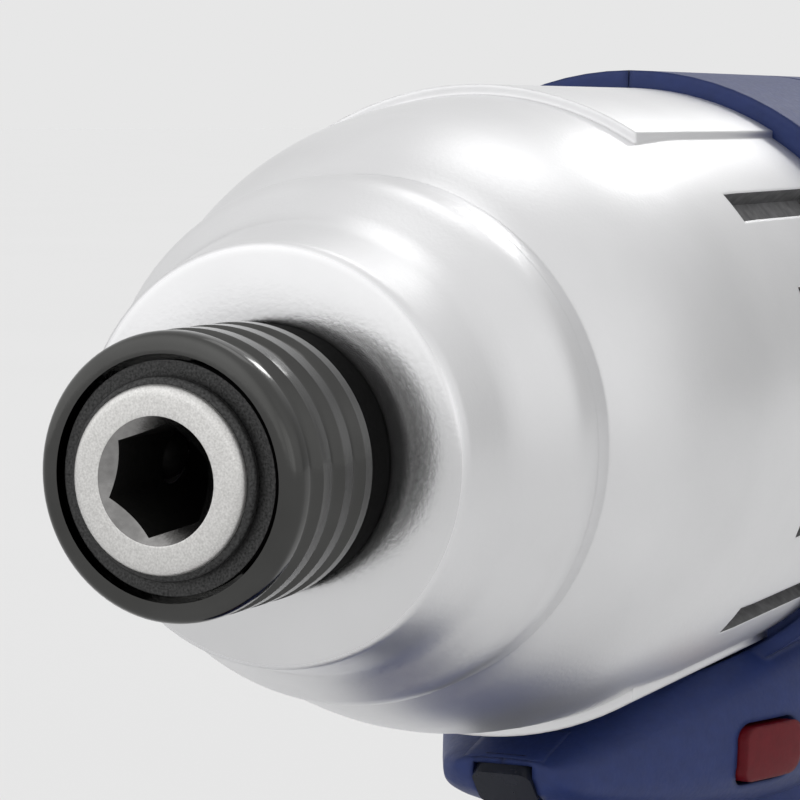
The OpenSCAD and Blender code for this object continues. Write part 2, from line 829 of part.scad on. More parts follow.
module planet_gear(index) {
    a = index * 360 / planet_count;
    spin = a + 180 + 180 / planet_teeth + a * sun_teeth / planet_teeth;
    color("lightgray") on_spindle() rotate(a) translate([orbit_r, 0, gear_s0]) rotate(-a) linear_extrude(gear_w)
        difference() {
            spur(planet_teeth, spin);
            circle(r = pin_r + run_gap, $fn = round_fn);
        }
}

module planet_gear_1() { planet_gear(0); }
module planet_gear_2() { planet_gear(1); }
module planet_gear_3() { planet_gear(2); }

module ring_gear() {
    tip = gear_module * (ring_teeth / 2 - addendum_share);
    color("darkgray") on_spindle() translate([0, 0, ring_s0]) linear_extrude(ring_s1 - ring_s0) difference() {
        circle(r = ring_r, $fn = fine);
        rotate(180 / ring_teeth * ring_phase) polygon(gear_outline(ring_teeth, tip, ring_root_r, -backlash));
    }
}

module gear_cover() {
    color("lightslategray") on_spindle() rotate_extrude($fn = fine) polygon([
        [carrier_r + slide_gap, ring_s1], [ring_r, ring_s1], [ring_r, cover_s1], [motor_boss_r, cover_s1],
        [motor_boss_r, motor_bearing_s1], [motor_bearing_r + seat_gap, motor_bearing_s1],
        [motor_bearing_r + seat_gap, cover_s1], [carrier_bore_r, cover_s1],
        [carrier_bore_r, carrier_bearing_s1],
        [carrier_bearing_r + seat_gap, carrier_bearing_s1], [carrier_bearing_r + seat_gap, carrier_bearing_s0],
        [carrier_r + slide_gap, carrier_bearing_s0]
    ]);
}

// A bearing's two races with the sunk shield between them

module bearing(s0, s1, r1, r0) {
    wall = (r1 - r0) * race_share;
    sink = (s1 - s0) * shield_share;
    rotate_extrude($fn = fine) polygon([
        [r0, s0], [r0 + wall, s0], [r0 + wall, s0 + sink], [r1 - wall, s0 + sink], [r1 - wall, s0], [r1, s0],
        [r1, s1], [r1 - wall, s1], [r1 - wall, s1 - sink], [r0 + wall, s1 - sink], [r0 + wall, s1], [r0, s1]
    ]);
}

module carrier_bearing() {
    color("silver") on_spindle()
        bearing(carrier_bearing_s0, carrier_bearing_s1, carrier_bearing_r, carrier_hub_r + run_gap);
}

module front_bearing() {
    color("silver") on_spindle()
        bearing(motor_bearing_s0, motor_bearing_s1, motor_bearing_r, motor_shaft_r + run_gap);
}

module rear_bearing() {
    color("silver") on_spindle()
        bearing(rear_bearing_s0, rear_bearing_s1, motor_bearing_r, motor_shaft_r + run_gap);
}

// Motor

module motor_shaft() {
    color("silver") on_spindle() disc(gear_s0, rear_bearing_s1, motor_shaft_r);
}

module pinion() {
    color("gray") on_spindle() translate([0, 0, gear_s0]) linear_extrude(plate_s1 - gear_s0) difference() {
        spur(sun_teeth, 0);
        circle(r = motor_shaft_r + seat_gap, $fn = round_fn);
    }
}

module rotor_core() {
    color("dimgray") on_spindle() tube(stator_s0, stator_s1, rotor_r - magnet_t, motor_shaft_r + seat_gap);
}

module rotor_magnets() {
    color("darkslategray") on_spindle() for (a = [0:90:270]) rotate(a) translate([0, 0, stator_s0])
        linear_extrude(stator_l) sector(rotor_r - magnet_t + seat_gap, rotor_r, magnet_half_angle);
}

module fan_blade() {
    intersection() {
        translate([0, fan_sweep_r]) difference() {
            circle(r = fan_sweep_r + fan_blade_t / 2, $fn = fine);
            circle(r = fan_sweep_r - fan_blade_t / 2, $fn = fine);
        }
        difference() {
            circle(r = fan_r - seat_step, $fn = fine);
            circle(r = fan_hub_r - fan_blade_t, $fn = fine);
        }
        translate([0, -fan_r]) square([fan_r, 2 * fan_r]);
    }
}

module fan() {
    color("black") on_spindle() {
        tube(fan_s0, fan_s0 + fan_w, fan_hub_r, motor_shaft_r + seat_gap);
        tube(fan_s0, fan_s0 + fan_plate_t, fan_r, fan_hub_r - seat_step);
        for (i = [0:fan_blades - 1]) rotate(i * 360 / fan_blades) translate([0, 0, fan_s0 + fan_plate_t / 2])
            linear_extrude(fan_w - fan_plate_t) fan_blade();
    }
}

module stator_core() {
    color("gray") on_spindle() translate([0, 0, stator_s0]) linear_extrude(stator_l) {
        difference() {
            circle(r = stator_r, $fn = fine);
            circle(r = stator_r - yoke_t, $fn = fine);
        }
        for (i = [0:tooth_count - 1]) rotate(i * 360 / tooth_count) {
            translate([stator_bore_r + shoe_t / 2, -tooth_w / 2])
                square([stator_r - yoke_t / 2 - stator_bore_r - shoe_t / 2, tooth_w]);
            sector(stator_bore_r, stator_bore_r + shoe_t, shoe_half_angle);
        }
    }
}

module stator_coils() {
    r0 = stator_bore_r + shoe_t + slide_gap;
    r1 = stator_r - yoke_t - slide_gap;
    color("sienna") on_spindle() for (i = [0:tooth_count - 1]) rotate(i * 360 / tooth_count) intersection() {
        difference() {
            translate([r0, -coil_w / 2, stator_s0 - coil_reach])
                cube([r1 - r0, coil_w, stator_l + 2 * coil_reach]);
            translate([r0 - cut, -tooth_w / 2 - seat_gap, stator_s0 - seat_gap])
                cube([r1 - r0 + 2 * cut, tooth_w + 2 * seat_gap, stator_l + 2 * seat_gap]);
        }
        tube(stator_s0 - coil_reach, coil_end_s, r1, r0);
    }
}

// Housing

// Points of a rounded rectangle with half sizes a and b; a lower power is squarer

function super_round(a, b, power) = [for (i = [0:loft_sides - 1])
    let (t = 360 * i / loft_sides, c = cos(t), s = sin(t))
    [a * sign(c) * pow(abs(c), power), b * sign(s) * pow(abs(s), power)]];

function lower_row(q, inset) = let (
    front = grip_front + q[1] * (foot_front - grip_front) + q[2] * (neck_front - grip_front) - inset,
    rear = grip_rear + q[1] * (foot_rear - grip_rear) + q[2] * (neck_rear - grip_rear) - inset,
    half = (grip_w + q[1] * (foot_w - grip_w) + q[2] * (neck_w - grip_w)) / 2 - inset,
    power = 2 / mix(grip_square, foot_square, q[1]),
    z = lower_z0 + q[0] * lower_h
) [for (p = super_round((front + rear) / 2, half, power)) [(front - rear) / 2 + p[0], p[1], z]];

module lower_loft(inset) {
    skin([for (q = lower_shares) lower_row(q, inset)]);
}

function chin_row(q, inset) = let (
    top = axis_h - chin_top - q[1] * chin_deep - inset,
    bottom = axis_h - chin_top - q[2] * chin_deep + inset,
    half = q[3] * chin_w / 2 - inset,
    x = tip_x - chin_s - q[0] * chin_l
) [for (p = super_round(half, (top - bottom) / 2, 2 / chin_square)) [x, p[0], (top + bottom) / 2 + p[1]]];

module chin_loft(inset, first) {
    skin([for (k = [len(chin_shares) - 1:-1:first]) chin_row(chin_shares[k], inset)]);
}

// Region of the barrel in side view, with its slanted front edge

module barrel_side() {
    translate([0, barrel_d, 0]) rotate([90, 0, 0]) linear_extrude(2 * barrel_d) polygon([
        [tip_x - edge_top_s, axis_h + barrel_d], [tip_x - edge_top_s, axis_h + edge_high],
        [tip_x - edge_side_s, axis_h], [tip_x - edge_low_s, axis_h + edge_low],
        [tip_x - edge_low_s, axis_h - barrel_d], [tip_x - head_l - cut, axis_h - barrel_d],
        [tip_x - head_l - cut, axis_h + barrel_d]
    ]);
}

module barrel_solid() {
    intersection() {
        on_spindle() rotate_extrude($fn = fine) polygon(joined([
            [[0, edge_low_s - cut], [barrel_r, edge_low_s - cut]],
            arc(barrel_r - rear_round, head_l - rear_round, rear_round, 0, 90, 5), [[0, head_l]]
        ]));
        barrel_side();
    }
}

// Space inside the barrel: the case, its clamping rib, the motor bay and the rear bearing seat

module barrel_space() {
    case_space_r = case_r + pad_t + seat_step;
    clamp_r = spigot_r + seat_gap;
    rib_r = clamp_r - spigot_groove_t;
    rib_s0 = visible_end_s + spigot_groove_l + seat_gap;
    rib_s1 = visible_end_s + 2 * spigot_groove_l - seat_gap;
    seat_r = stator_r + seat_gap;
    on_spindle() rotate_extrude($fn = fine) polygon([
        [0, chin_s - cut], [case_space_r, chin_s - cut], [case_space_r, visible_end_s],
        [clamp_r, visible_end_s], [clamp_r, rib_s0], [rib_r, rib_s0], [rib_r, rib_s1], [clamp_r, rib_s1],
        [clamp_r, case_end_s], [bay_r, case_end_s], [bay_r, stator_s0], [seat_r, stator_s0],
        [seat_r, stator_s0 + stator_rib_w], [bay_r, stator_s0 + stator_rib_w],
        [bay_r, stator_s1 - stator_rib_w], [seat_r, stator_s1 - stator_rib_w],
        [seat_r, stator_s1], [bay_r, stator_s1], [bay_r, rear_wall_s - rear_round / 2],
        [bay_r - rear_round / 2, rear_wall_s], [motor_boss_r, rear_wall_s], [motor_boss_r, rear_bearing_s0],
        [motor_bearing_r + seat_gap, rear_bearing_s0], [motor_bearing_r + seat_gap, rear_bearing_s1],
        [0, rear_bearing_s1]
    ]);
}

module screw_bosses(r, half) {
    for (p = screw_places) translate([p[0], half, p[1]]) rotate([90, 0, 0])
        cylinder(r = r, h = 2 * half, $fn = round_fn);
}

// Open bores on the right side that the screw heads go down

module head_bores() {
    for (p = screw_places) translate([p[0], -screw_l / 2 + screw_set, p[1]]) rotate([90, 0, 0])
        cylinder(r = screw_head_r + seat_gap, h = pack_w, $fn = round_fn);
}

// Shelf across the grip under the switch

module switch_shelf() {
    translate([switch_front - switch_l / 2 - shelf_l / 2, 0, trigger_z - switch_h / 2 - shelf_t])
        box(shelf_l, grip_w - housing_wall, shelf_t);
}

// Side view of the rubber on the grip

module grip_region() {
    z0 = lower_z0 + lower_h * grip_low_share;
    z1 = lower_z0 + lower_h * grip_high_share;
    translate([0, pack_w, 0]) rotate([90, 0, 0]) linear_extrude(2 * pack_w) polygon([
        [-pack_l, z0], [-grip_front, z0], [grip_front / 2, z0 + grip_front], [0, (z0 + z1) / 2],
        [-grip_front, z1], [-pack_l, z1]
    ]);
}

module trigger_slot() {
    h = trigger_h + 2 * slide_gap;
    w = trigger_w + 2 * slide_gap;
    translate([switch_front, -w / 2, trigger_z - h / 2]) cube([pack_l, w, h]);
}

module direction_bar(w, gap) {
    translate([direction_x, w / 2, direction_z]) rotate([90, 0, 0])
        rounded_plate(direction_l + 2 * gap, direction_h + 2 * gap, w, direction_round + gap);
}

// Channel under the foot that the battery's rails slide into

module rail_channel() {
    front = foot_front - rail_stop_x + cut;
    mouth_half = rail_half - rail_in;
    translate([rail_stop_x, -rail_half, lower_z0 + rail_lip_h])
        cube([front, 2 * rail_half, rail_h - rail_lip_h]);
    translate([rail_stop_x, -mouth_half, lower_z0 - cut]) cube([front, 2 * mouth_half, rail_h + cut]);
}

// Groove round the barrel where its rear cap starts

module cap_groove() {
    on_spindle() tube(head_l - cap_l, head_l - cap_l + cap_groove_w, barrel_r + cut, barrel_r - cap_groove_t);
}

module vents() {
    on_spindle() for (side = [-1, 1], k = [-2:2]) rotate(side * 90 + k * vent_step_angle)
        for (s = [fan_s0, stator_s0 + stator_l / 2 - vent_w / 2]) translate([bay_r - cut, -vent_w / 2, s])
            cube([housing_wall + 2 * cut, vent_w, vent_l]);
}

module housing_shell() {
    difference() {
        union() {
            difference() {
                union() {
                    barrel_solid();
                    lower_loft(0);
                    chin_loft(0, 0);
                }
                barrel_space();
                intersection() {
                    lower_loft(housing_wall);
                    translate([0, 0, foot_floor]) box(2 * pack_l, 2 * pack_w, axis_h);
                }
                chin_loft(housing_wall, chin_hollow_row);
            }
            screw_bosses(boss_r, grip_w / 2 - housing_wall);
            switch_shelf();
        }
        difference() {
            grip_region();
            lower_loft(rubber_t);
        }
        screw_bosses(screw_r, screw_l / 2);
        head_bores();
        trigger_slot();
        direction_bar(pack_w, slide_gap);
        rail_channel();
        vents();
        cap_groove();
        led_space();
        translate([insert_x, foot_w / 2 + cut, insert_z]) rotate([90, 0, 0])
            cylinder(r = insert_r + seat_gap, h = insert_l + insert_sink + cut, $fn = round_fn);
        translate([insert_x, -foot_w / 2 + insert_sink + insert_l, insert_z]) rotate([90, 0, 0])
            cylinder(r = insert_r + seat_gap, h = insert_l + insert_sink + cut, $fn = round_fn);
    }
}

module half(side) {
    intersection() {
        children();
        translate([-2 * pack_l, side > 0 ? 0 : -pack_w, 0]) cube([4 * pack_l, pack_w, 2 * axis_h]);
    }
}

module left_housing() {
    color("midnightblue") half(1) housing_shell();
}

module right_housing() {
    color("midnightblue") half(-1) housing_shell();
}

module grip() {
    intersection() {
        grip_region();
        difference() {
            lower_loft(0);
            lower_loft(rubber_t);
            head_bores();
        }
    }
}

module left_grip() {
    color("black") half(1) grip();
}

module right_grip() {
    color("black") half(-1) grip();
}

module housing_screws() {
    y = screw_set - screw_l / 2;
    color("dimgray") for (p = screw_places) translate([p[0], y, p[1]]) rotate([-90, 0, 0]) {
        cylinder(r = screw_r - seat_gap, h = screw_l - screw_set - cut, $fn = round_fn);
        translate([0, 0, -screw_head_t]) difference() {
            cylinder(r = screw_head_r, h = screw_head_t, $fn = round_fn);
            translate([0, 0, -cut]) cylinder(r = screw_r, h = screw_head_t / 2 + cut, $fn = hex_fn);
        }
    }
}

// Controls

module trigger() {
    w = trigger_w;
    color("black") difference() {
        translate([trigger_back + trigger_reach / 2, 0, trigger_z - trigger_h / 2])
            soft_block(trigger_reach, w, trigger_h, trigger_round, trigger_edge);
        translate([trigger_front + finger_r - finger_depth, w, trigger_z - finger_depth]) rotate([90, 0, 0])
            cylinder(r = finger_r, h = 2 * w, $fn = fine);
        translate([trigger_back - cut, trigger_wall - w / 2, trigger_z + trigger_wall - trigger_h / 2])
            cube([trigger_reach / 2 + cut, w - 2 * trigger_wall, trigger_h - 2 * trigger_wall]);
    }
}

module switch_body() {
    color("dimgray") union() {
        translate([switch_front - switch_l / 2, 0, trigger_z - switch_h / 2]) box(switch_l, switch_w, switch_h);
        translate([switch_front - cut, 0, trigger_z]) rotate([0, 90, 0])
            cylinder(r = stem_r, h = cut + trigger_travel, $fn = round_fn);
    }
}

module trigger_spring() {
    l = trigger_back + trigger_reach / 2 - switch_front;
    color("silver") translate([switch_front, 0, trigger_z]) rotate([0, 90, 0])
        coil_spring(l - seat_gap, trigger_coil_r, trigger_wire, trigger_turns, "trigger spring");
}

module direction_switch() {
    color("firebrick") intersection() {
        direction_bar(pack_w, 0);
        chin_loft(-direction_out, 0);
    }
}

// The lamp sits in the slanted face under the tip of the chin

module lens_place() {
    translate([lens_x, 0, lens_z]) rotate([0, lens_tilt_angle, 0]) children();
}

module led_space() {
    lens_place() translate([0, 0, -lens_t]) box(lens_l + 2 * seat_gap, lens_w + 2 * seat_gap, chin_deep);
}

module led_lens() {
    color("slategray") lens_place() translate([0, 0, -lens_t / 2])
        rounded_plate(lens_l, lens_w, lens_t, lens_t / 2);
}

module led_board() {
    color("darkgreen") lens_place() translate([0, 0, -lens_t]) box(lens_l, lens_w, lens_t / 2 - seat_gap);
}

module control_board() {
    color("darkgreen") translate([0, 0, board_z]) box(board_l, board_w, board_t);
}

module terminal_block() {
    color("black") translate([block_x, 0, block_z]) difference() {
        box(block_l, block_w, block_h);
        for (y = blade_rows) translate([0, y, -cut])
            box(block_l - 2 * blade_t, blade_t + 2 * slide_gap, blade_h + cut);
    }
}

module tool_blades() {
    color("goldenrod") for (y = blade_rows) translate([block_x, y, block_z]) box(blade_l, blade_t, blade_h);
}

module hook_inserts() {
    y = foot_w / 2 - insert_sink - insert_l / 2;
    color("goldenrod") for (side = [-1, 1]) translate([insert_x, side * y, insert_z])
        rotate([90, 0, 0]) translate([0, 0, -insert_l / 2]) difference() {
            cylinder(r = insert_r, h = insert_l, $fn = round_fn);
            translate([0, 0, -cut]) cylinder(r = insert_bore_r, h = insert_l + 2 * cut, $fn = round_fn);
        }
}

// Battery pack

module pack_corners() {
    for (x = [-1, 1], y = [-1, 1]) translate([x * pack_screw_x, y * pack_screw_y, 0]) children();
}

module pack_block() {
    soft_block(pack_l, pack_w, pack_h, pack_corner, pack_edge);
}

module pack_hollow(z0, z1) {
    translate([0, 0, z0])
        rounded_plate(pack_l - 2 * pack_wall, pack_w - 2 * pack_wall, z1 - z0, pack_corner - pack_wall);
}

// Finger grooves down both long sides of the pack

module pack_grooves() {
    for (side = [-1, 1], i = [0:pack_groove_count - 1])
        translate([(i - (pack_groove_count - 1) / 2) * pack_groove_pitch,
                   side * (pack_w / 2 + pack_groove_r - pack_groove_depth), pack_groove_z])
            cylinder(r = pack_groove_r, h = tray_h - 2 * pack_groove_z, $fn = round_fn);
}

module battery_tray() {
    color("black") difference() {
        intersection() {
            pack_block();
            box(pack_l, pack_w, tray_h);
        }
        difference() {
            pack_hollow(pack_wall, tray_h + cut);
            pack_corners() cylinder(r = pack_post_r, h = tray_h, $fn = round_fn);
        }
        pack_grooves();
        pack_corners() translate([0, 0, -cut]) {
            cylinder(r = pack_screw_r + seat_gap, h = tray_h + 2 * cut, $fn = round_fn);
            cylinder(r = pack_head_r + seat_gap, h = pack_head_sink + pack_head_t + cut, $fn = round_fn);
        }
    }
}

// Rails on top of the lid, with the space that the tool's terminal block slides into

module pack_rails() {
    stem = rail_half - rail_in - slide_gap;
    flange_z = seam_gap + rail_lip_h + slide_gap;
    block_space = block_l + 2 * slide_gap + cut;
    translate([tower_x0, 0, pack_h]) difference() {
        translate([tower_l / 2, 0, 0]) {
            translate([0, 0, -cut]) box(tower_l, 2 * stem, tower_h + cut);
            translate([0, 0, flange_z]) box(tower_l, 2 * (rail_half - slide_gap), tower_h - flange_z);
        }
        translate([block_space / 2 - cut, 0, 0]) box(block_space, block_w + 2 * slide_gap, tower_h + cut);
    }
}

// The latch is a T in plan: its wide rear part keeps it in the well

module latch_plan(gap) {
    translate([latch_back - gap, -latch_w / 2 - latch_flange - gap])
        square([latch_flange_t + 2 * gap, latch_w + 2 * (latch_flange + gap)]);
    translate([latch_back, -latch_w / 2 - gap]) square([latch_t + cut, latch_w + 2 * gap]);
}

module latch_well() {
    half = latch_w / 2 + latch_flange + slide_gap + well_wall;
    back = latch_back - slide_gap - well_wall;
    translate([back, -half, latch_z - well_wall])
        cube([pack_l / 2 - pack_wall / 2 - back, 2 * half, pack_h - pack_wall / 2 - latch_z + well_wall]);
}

module battery_lid() {
    color("black") difference() {
        union() {
            difference() {
                intersection() {
                    pack_block();
                    translate([0, 0, tray_h]) box(pack_l, pack_w, pack_h);
                }
                difference() {
                    pack_hollow(tray_h - cut, pack_h - pack_wall);
                    pack_corners() cylinder(r = pack_post_r, h = pack_h, $fn = round_fn);
                }
            }
            latch_well();
            pack_rails();
        }
        pack_corners() translate([0, 0, tray_h - cut])
            cylinder(r = pack_screw_r + seat_gap, h = pack_screw_reach + cut, $fn = round_fn);
        translate([0, 0, latch_z]) linear_extrude(pack_h) latch_plan(slide_gap);
    }
}

module battery_cells() {
    color("teal") for (x = cell_rows) translate([x, cell_l / 2, cell_z]) rotate([90, 0, 0])
        cylinder(r = cell_d / 2, h = cell_l, $fn = fine);
}

module cell_holder() {
    l = cell_count * cell_pitch;
    color("dimgray") for (side = [-1, 1]) difference() {
        translate([0, side * (cell_l / 2 - 2 * holder_t), pack_wall])
            box(l, holder_t, pack_board_z - pack_wall);
        for (x = cell_rows) translate([x, cell_l, cell_z]) rotate([90, 0, 0])
            cylinder(r = cell_d / 2 + seat_gap, h = 2 * cell_l, $fn = fine);
    }
}

module cell_straps() {
    y = (cell_l + strap_t) / 2;
    color("silver") for (side = [-1, 1], i = [0:1])
        translate([(2 * i - 1 - side / 2) * cell_pitch, side * y, cell_z - strap_w / 2])
            box(cell_pitch + strap_w, strap_t, strap_w);
}

module battery_board() {
    color("darkgreen") translate([0, 0, pack_board_z]) box(board_l, board_w, pack_board_t);
}

module battery_clips() {
    color("goldenrod") for (y = blade_rows)
        translate([block_x, y, pack_h - pack_wall - clip_h]) box(clip_l, 2 * blade_t, clip_h);
}

module battery_screws() {
    color("dimgray") pack_corners() translate([0, 0, pack_head_sink]) {
        cylinder(r = pack_head_r, h = pack_head_t, $fn = round_fn);
        cylinder(r = pack_screw_r, h = tray_h + pack_screw_reach - pack_head_sink - seat_gap, $fn = round_fn);
    }
}

module latch_button() {
    z0 = latch_z + latch_travel + slide_gap;
    color("firebrick") difference() {
        intersection() {
            pack_block();
            translate([0, 0, z0]) linear_extrude(pack_h - z0) latch_plan(0);
            translate([latch_x, 0, latch_z]) box(latch_t, pack_w, pack_h);
        }
        translate([latch_x, 0, z0 - cut])
            cylinder(r = latch_coil_r + latch_wire / 2 + slide_gap, h = latch_bore + cut, $fn = round_fn);
        for (k = [1:latch_ridges])
            translate([latch_front + latch_ridge_r - latch_ridge_t, latch_w, z0 + k * latch_ridge_pitch])
            rotate([90, 0, 0]) cylinder(r = latch_ridge_r, h = 2 * latch_w, $fn = round_fn);
    }
}

module latch_spring() {
    length = latch_travel + slide_gap + latch_bore - seat_gap;
    color("silver") translate([latch_x, 0, latch_z])
        coil_spring(length, latch_coil_r, latch_wire, latch_turns, "latch spring");
}

hammer_case();
nose_seal();
anvil_bush();
anvil_washer();
anvil();
snap_ring();
sleeve_washer();
detent_balls();
bit_sleeve();
sleeve_spring();
hammer();
thrust_balls();
spring_washer();
hammer_spring();
cam_balls();
spindle();
carrier_plate();
planet_pins();
planet_gear_1();
planet_gear_2();
planet_gear_3();
ring_gear();
gear_cover();
carrier_bearing();
front_bearing();
rear_bearing();
motor_shaft();
pinion();
rotor_core();
rotor_magnets();
fan();
stator_core();
stator_coils();
left_housing();
right_housing();
left_grip();
right_grip();
housing_screws();
trigger();
trigger_spring();
switch_body();
direction_switch();
led_lens();
led_board();
control_board();
terminal_block();
tool_blades();
hook_inserts();
battery_tray();
battery_lid();
battery_cells();
cell_holder();
cell_straps();
battery_board();
battery_clips();
battery_screws();
latch_button();
latch_spring();
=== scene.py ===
# %% [markdown]
# # Impact driver
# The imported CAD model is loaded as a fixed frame. The steps below give its pieces their
# finishes, replace the pieces that need finer shapes, and add a plain studio with a camera
# close to the nose. Lengths are metres; a value given in millimetres is multiplied by MM.

# %% Load the frame
import json
import math

import bmesh
import bpy
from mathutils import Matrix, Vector


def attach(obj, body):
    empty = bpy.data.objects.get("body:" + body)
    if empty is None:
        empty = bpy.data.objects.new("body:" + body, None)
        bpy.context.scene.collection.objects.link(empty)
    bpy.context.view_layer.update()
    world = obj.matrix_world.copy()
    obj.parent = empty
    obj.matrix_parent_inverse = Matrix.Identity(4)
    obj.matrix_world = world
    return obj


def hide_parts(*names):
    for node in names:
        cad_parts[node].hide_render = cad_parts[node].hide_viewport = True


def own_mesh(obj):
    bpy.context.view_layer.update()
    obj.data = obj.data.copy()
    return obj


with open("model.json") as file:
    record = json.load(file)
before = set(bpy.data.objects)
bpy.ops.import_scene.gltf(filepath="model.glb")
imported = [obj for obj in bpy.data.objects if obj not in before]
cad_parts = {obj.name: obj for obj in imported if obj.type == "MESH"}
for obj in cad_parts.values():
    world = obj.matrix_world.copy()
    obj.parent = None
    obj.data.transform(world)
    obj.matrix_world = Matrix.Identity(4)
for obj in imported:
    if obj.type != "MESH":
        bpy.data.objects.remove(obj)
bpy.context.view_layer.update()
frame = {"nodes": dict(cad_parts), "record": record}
MM = 0.001
# Middle of the anvil's face, at the front of the tool, whose axis runs along X
TIP = Vector((100, 0, 172)) * MM
RECORD = frame["record"]
SLOT_OF = {row["node"]: row["material_slot"] for row in RECORD["subparts"]}
BODY_OF = {node: body for body, nodes in RECORD["behaviour"]["bodies"].items() for node in nodes}
JOINTS = {joint["name"]: joint for joint in RECORD["behaviour"]["joints"]}

# %% [markdown]
# ## Finishes
# Each finish starts from what the real surface is and how it was made. A colour is written
# as the hex value seen on the object and turned into the linear value that shaders use.
# Patterns read Object coordinates, so a size in millimetres gives the texture's scale. One
# function serves every finish, because they differ in sizes and colours and not in kind.

# %% Helpers for materials
def linear(hex_colour):
    """Turns an sRGB hex colour into linear RGBA."""
    parts = [int(hex_colour[i:i + 2], 16) / 255 for i in (1, 3, 5)]
    return tuple(c / 12.92 if c <= 0.04045 else ((c + 0.055) / 1.055) ** 2.4
                 for c in parts) + (1.0,)


def add(tree, kind, values=None, links=None, **settings):
    """Adds one node with its settings, input values and incoming links."""
    made = tree.nodes.new(kind)
    for key, value in settings.items():
        setattr(made, key, value)
    for key, value in (values or {}).items():
        made.inputs[key].default_value = value
    for key, output in (links or {}).items():
        tree.links.new(output, made.inputs[key])
    return made


# %% One function for every finish
# Where along the noise the darker colour ends and the lighter one begins
MOTTLE_STOPS = (0.3, 0.7)
# A wave texture at scale 1 repeats after this length
WAVE_LENGTH = math.pi / 10
COAT_ROUGHNESS = 0.12
EDGE_SAMPLES = 6


def finish(name, light, dark, mottle_mm, roughness, grain_mm, relief_mm, metallic=0.0,
           specular=0.5, coat=0.0, lines_mm=0.0, edge_mm=0.0):
    """A surface with mottled colour, uneven roughness and a fine relief.

    light, dark: hex colours; mottle_mm: size of the colour patches; roughness: (least, most);
    grain_mm: size of the relief's grain; relief_mm: its height; lines_mm: pitch of turning
    marks along the X axis; edge_mm: radius that softens the light on sharp edges.
    """
    material = bpy.data.materials.new(name)
    material.use_nodes = True
    tree = material.node_tree
    shader = tree.nodes["Principled BSDF"]
    shader.inputs["Metallic"].default_value = metallic
    shader.inputs["Specular IOR Level"].default_value = specular
    shader.inputs["Coat Weight"].default_value = coat
    shader.inputs["Coat Roughness"].default_value = COAT_ROUGHNESS
    place = add(tree, "ShaderNodeTexCoord").outputs["Object"]

    patches = add(tree, "ShaderNodeTexNoise", {"Scale": 1 / (mottle_mm * MM), "Detail": 4.0},
                  {"Vector": place})
    ramp = add(tree, "ShaderNodeValToRGB", links={"Fac": patches.outputs["Fac"]})
    for stop, position, colour in zip(ramp.color_ramp.elements, MOTTLE_STOPS, (dark, light)):
        stop.position = position
        stop.color = linear(colour)
    tree.links.new(ramp.outputs["Color"], shader.inputs["Base Color"])

    grain = add(tree, "ShaderNodeTexNoise", {"Scale": 1 / (grain_mm * MM), "Detail": 3.0},
                {"Vector": place})
    gloss = add(tree, "ShaderNodeMapRange", {"To Min": roughness[0], "To Max": roughness[1]},
                {"Value": grain.outputs["Fac"]})
    tree.links.new(gloss.outputs["Result"], shader.inputs["Roughness"])

    height = grain.outputs["Fac"]
    if lines_mm:
        turned = add(tree, "ShaderNodeTexWave",
                     {"Scale": WAVE_LENGTH / (lines_mm * MM), "Distortion": 1.5, "Detail": 2.0},
                     {"Vector": place}, wave_type="BANDS", bands_direction="X")
        height = add(tree, "ShaderNodeMath", links={0: height, 1: turned.outputs["Fac"]},
                     operation="ADD").outputs[0]
    bump = add(tree, "ShaderNodeBump", {"Strength": 1.0, "Distance": relief_mm * MM},
               {"Height": height})
    if edge_mm:
        edge = add(tree, "ShaderNodeBevel", {"Radius": edge_mm * MM}, samples=EDGE_SAMPLES)
        tree.links.new(edge.outputs["Normal"], bump.inputs["Normal"])
    tree.links.new(bump.outputs["Normal"], shader.inputs["Normal"])
    return material


# %% Finishes of the metal pieces
METALS = {
    # Bead-blasted aluminium casting: pale, soft highlights, fine even grain
    "cast_aluminium": finish(
        "Blasted cast aluminium", "#dfdfe0", "#d7d7d8", mottle_mm=14, roughness=(0.32, 0.42),
        grain_mm=0.30, relief_mm=0.010, metallic=1.0, edge_mm=0.4),
    # Tempered tool steel, tumbled: grey with a salt-and-pepper grain
    "satin_steel": finish(
        "Tumbled tool steel", "#d9d8d6", "#bcbbb9", mottle_mm=0.14, roughness=(0.36, 0.50),
        grain_mm=0.10, relief_mm=0.010, metallic=1.0, edge_mm=0.2),
    # Black oxide on steel: nearly black, oiled, speckled where it has worn
    "dark_steel": finish(
        "Oil-blackened steel", "#4c4c4c", "#2a2a2a", mottle_mm=0.16, roughness=(0.38, 0.6),
        grain_mm=0.12, relief_mm=0.02, metallic=0.9, edge_mm=0.1),
    # Drawn spring wire: bright grey, smooth along its length
    "spring_steel": finish(
        "Drawn spring wire", "#a9abae", "#7d8084", mottle_mm=0.5, roughness=(0.25, 0.4),
        grain_mm=0.12, relief_mm=0.006, metallic=1.0),
    # Oil-soaked sintered bronze: brown-gold and dull
    "bronze": finish(
        "Sintered bronze", "#b98b52", "#8d6336", mottle_mm=0.6, roughness=(0.4, 0.6),
        grain_mm=0.25, relief_mm=0.02, metallic=1.0),
    # Stamped and turned brass: yellow, lightly scuffed
    "brass_parts": finish(
        "Stamped brass", "#d8b565", "#b8913f", mottle_mm=1.5, roughness=(0.25, 0.4),
        grain_mm=0.3, relief_mm=0.005, metallic=1.0),
    # Enamelled copper wire in a winding: red-brown under a gloss coat
    "copper_winding": finish(
        "Enamelled copper wire", "#b5622c", "#7d3c17", mottle_mm=0.8, roughness=(0.22, 0.35),
        grain_mm=0.5, relief_mm=0.05, metallic=0.9, coat=0.4),
    # Nickel-plated magnets: neutral and smooth
    "magnet": finish(
        "Nickel-plated magnet", "#9a9b9d", "#7b7c7f", mottle_mm=1.2, roughness=(0.25, 0.4),
        grain_mm=0.3, relief_mm=0.006, metallic=1.0),
}
print("made", len(METALS), "metal finishes")

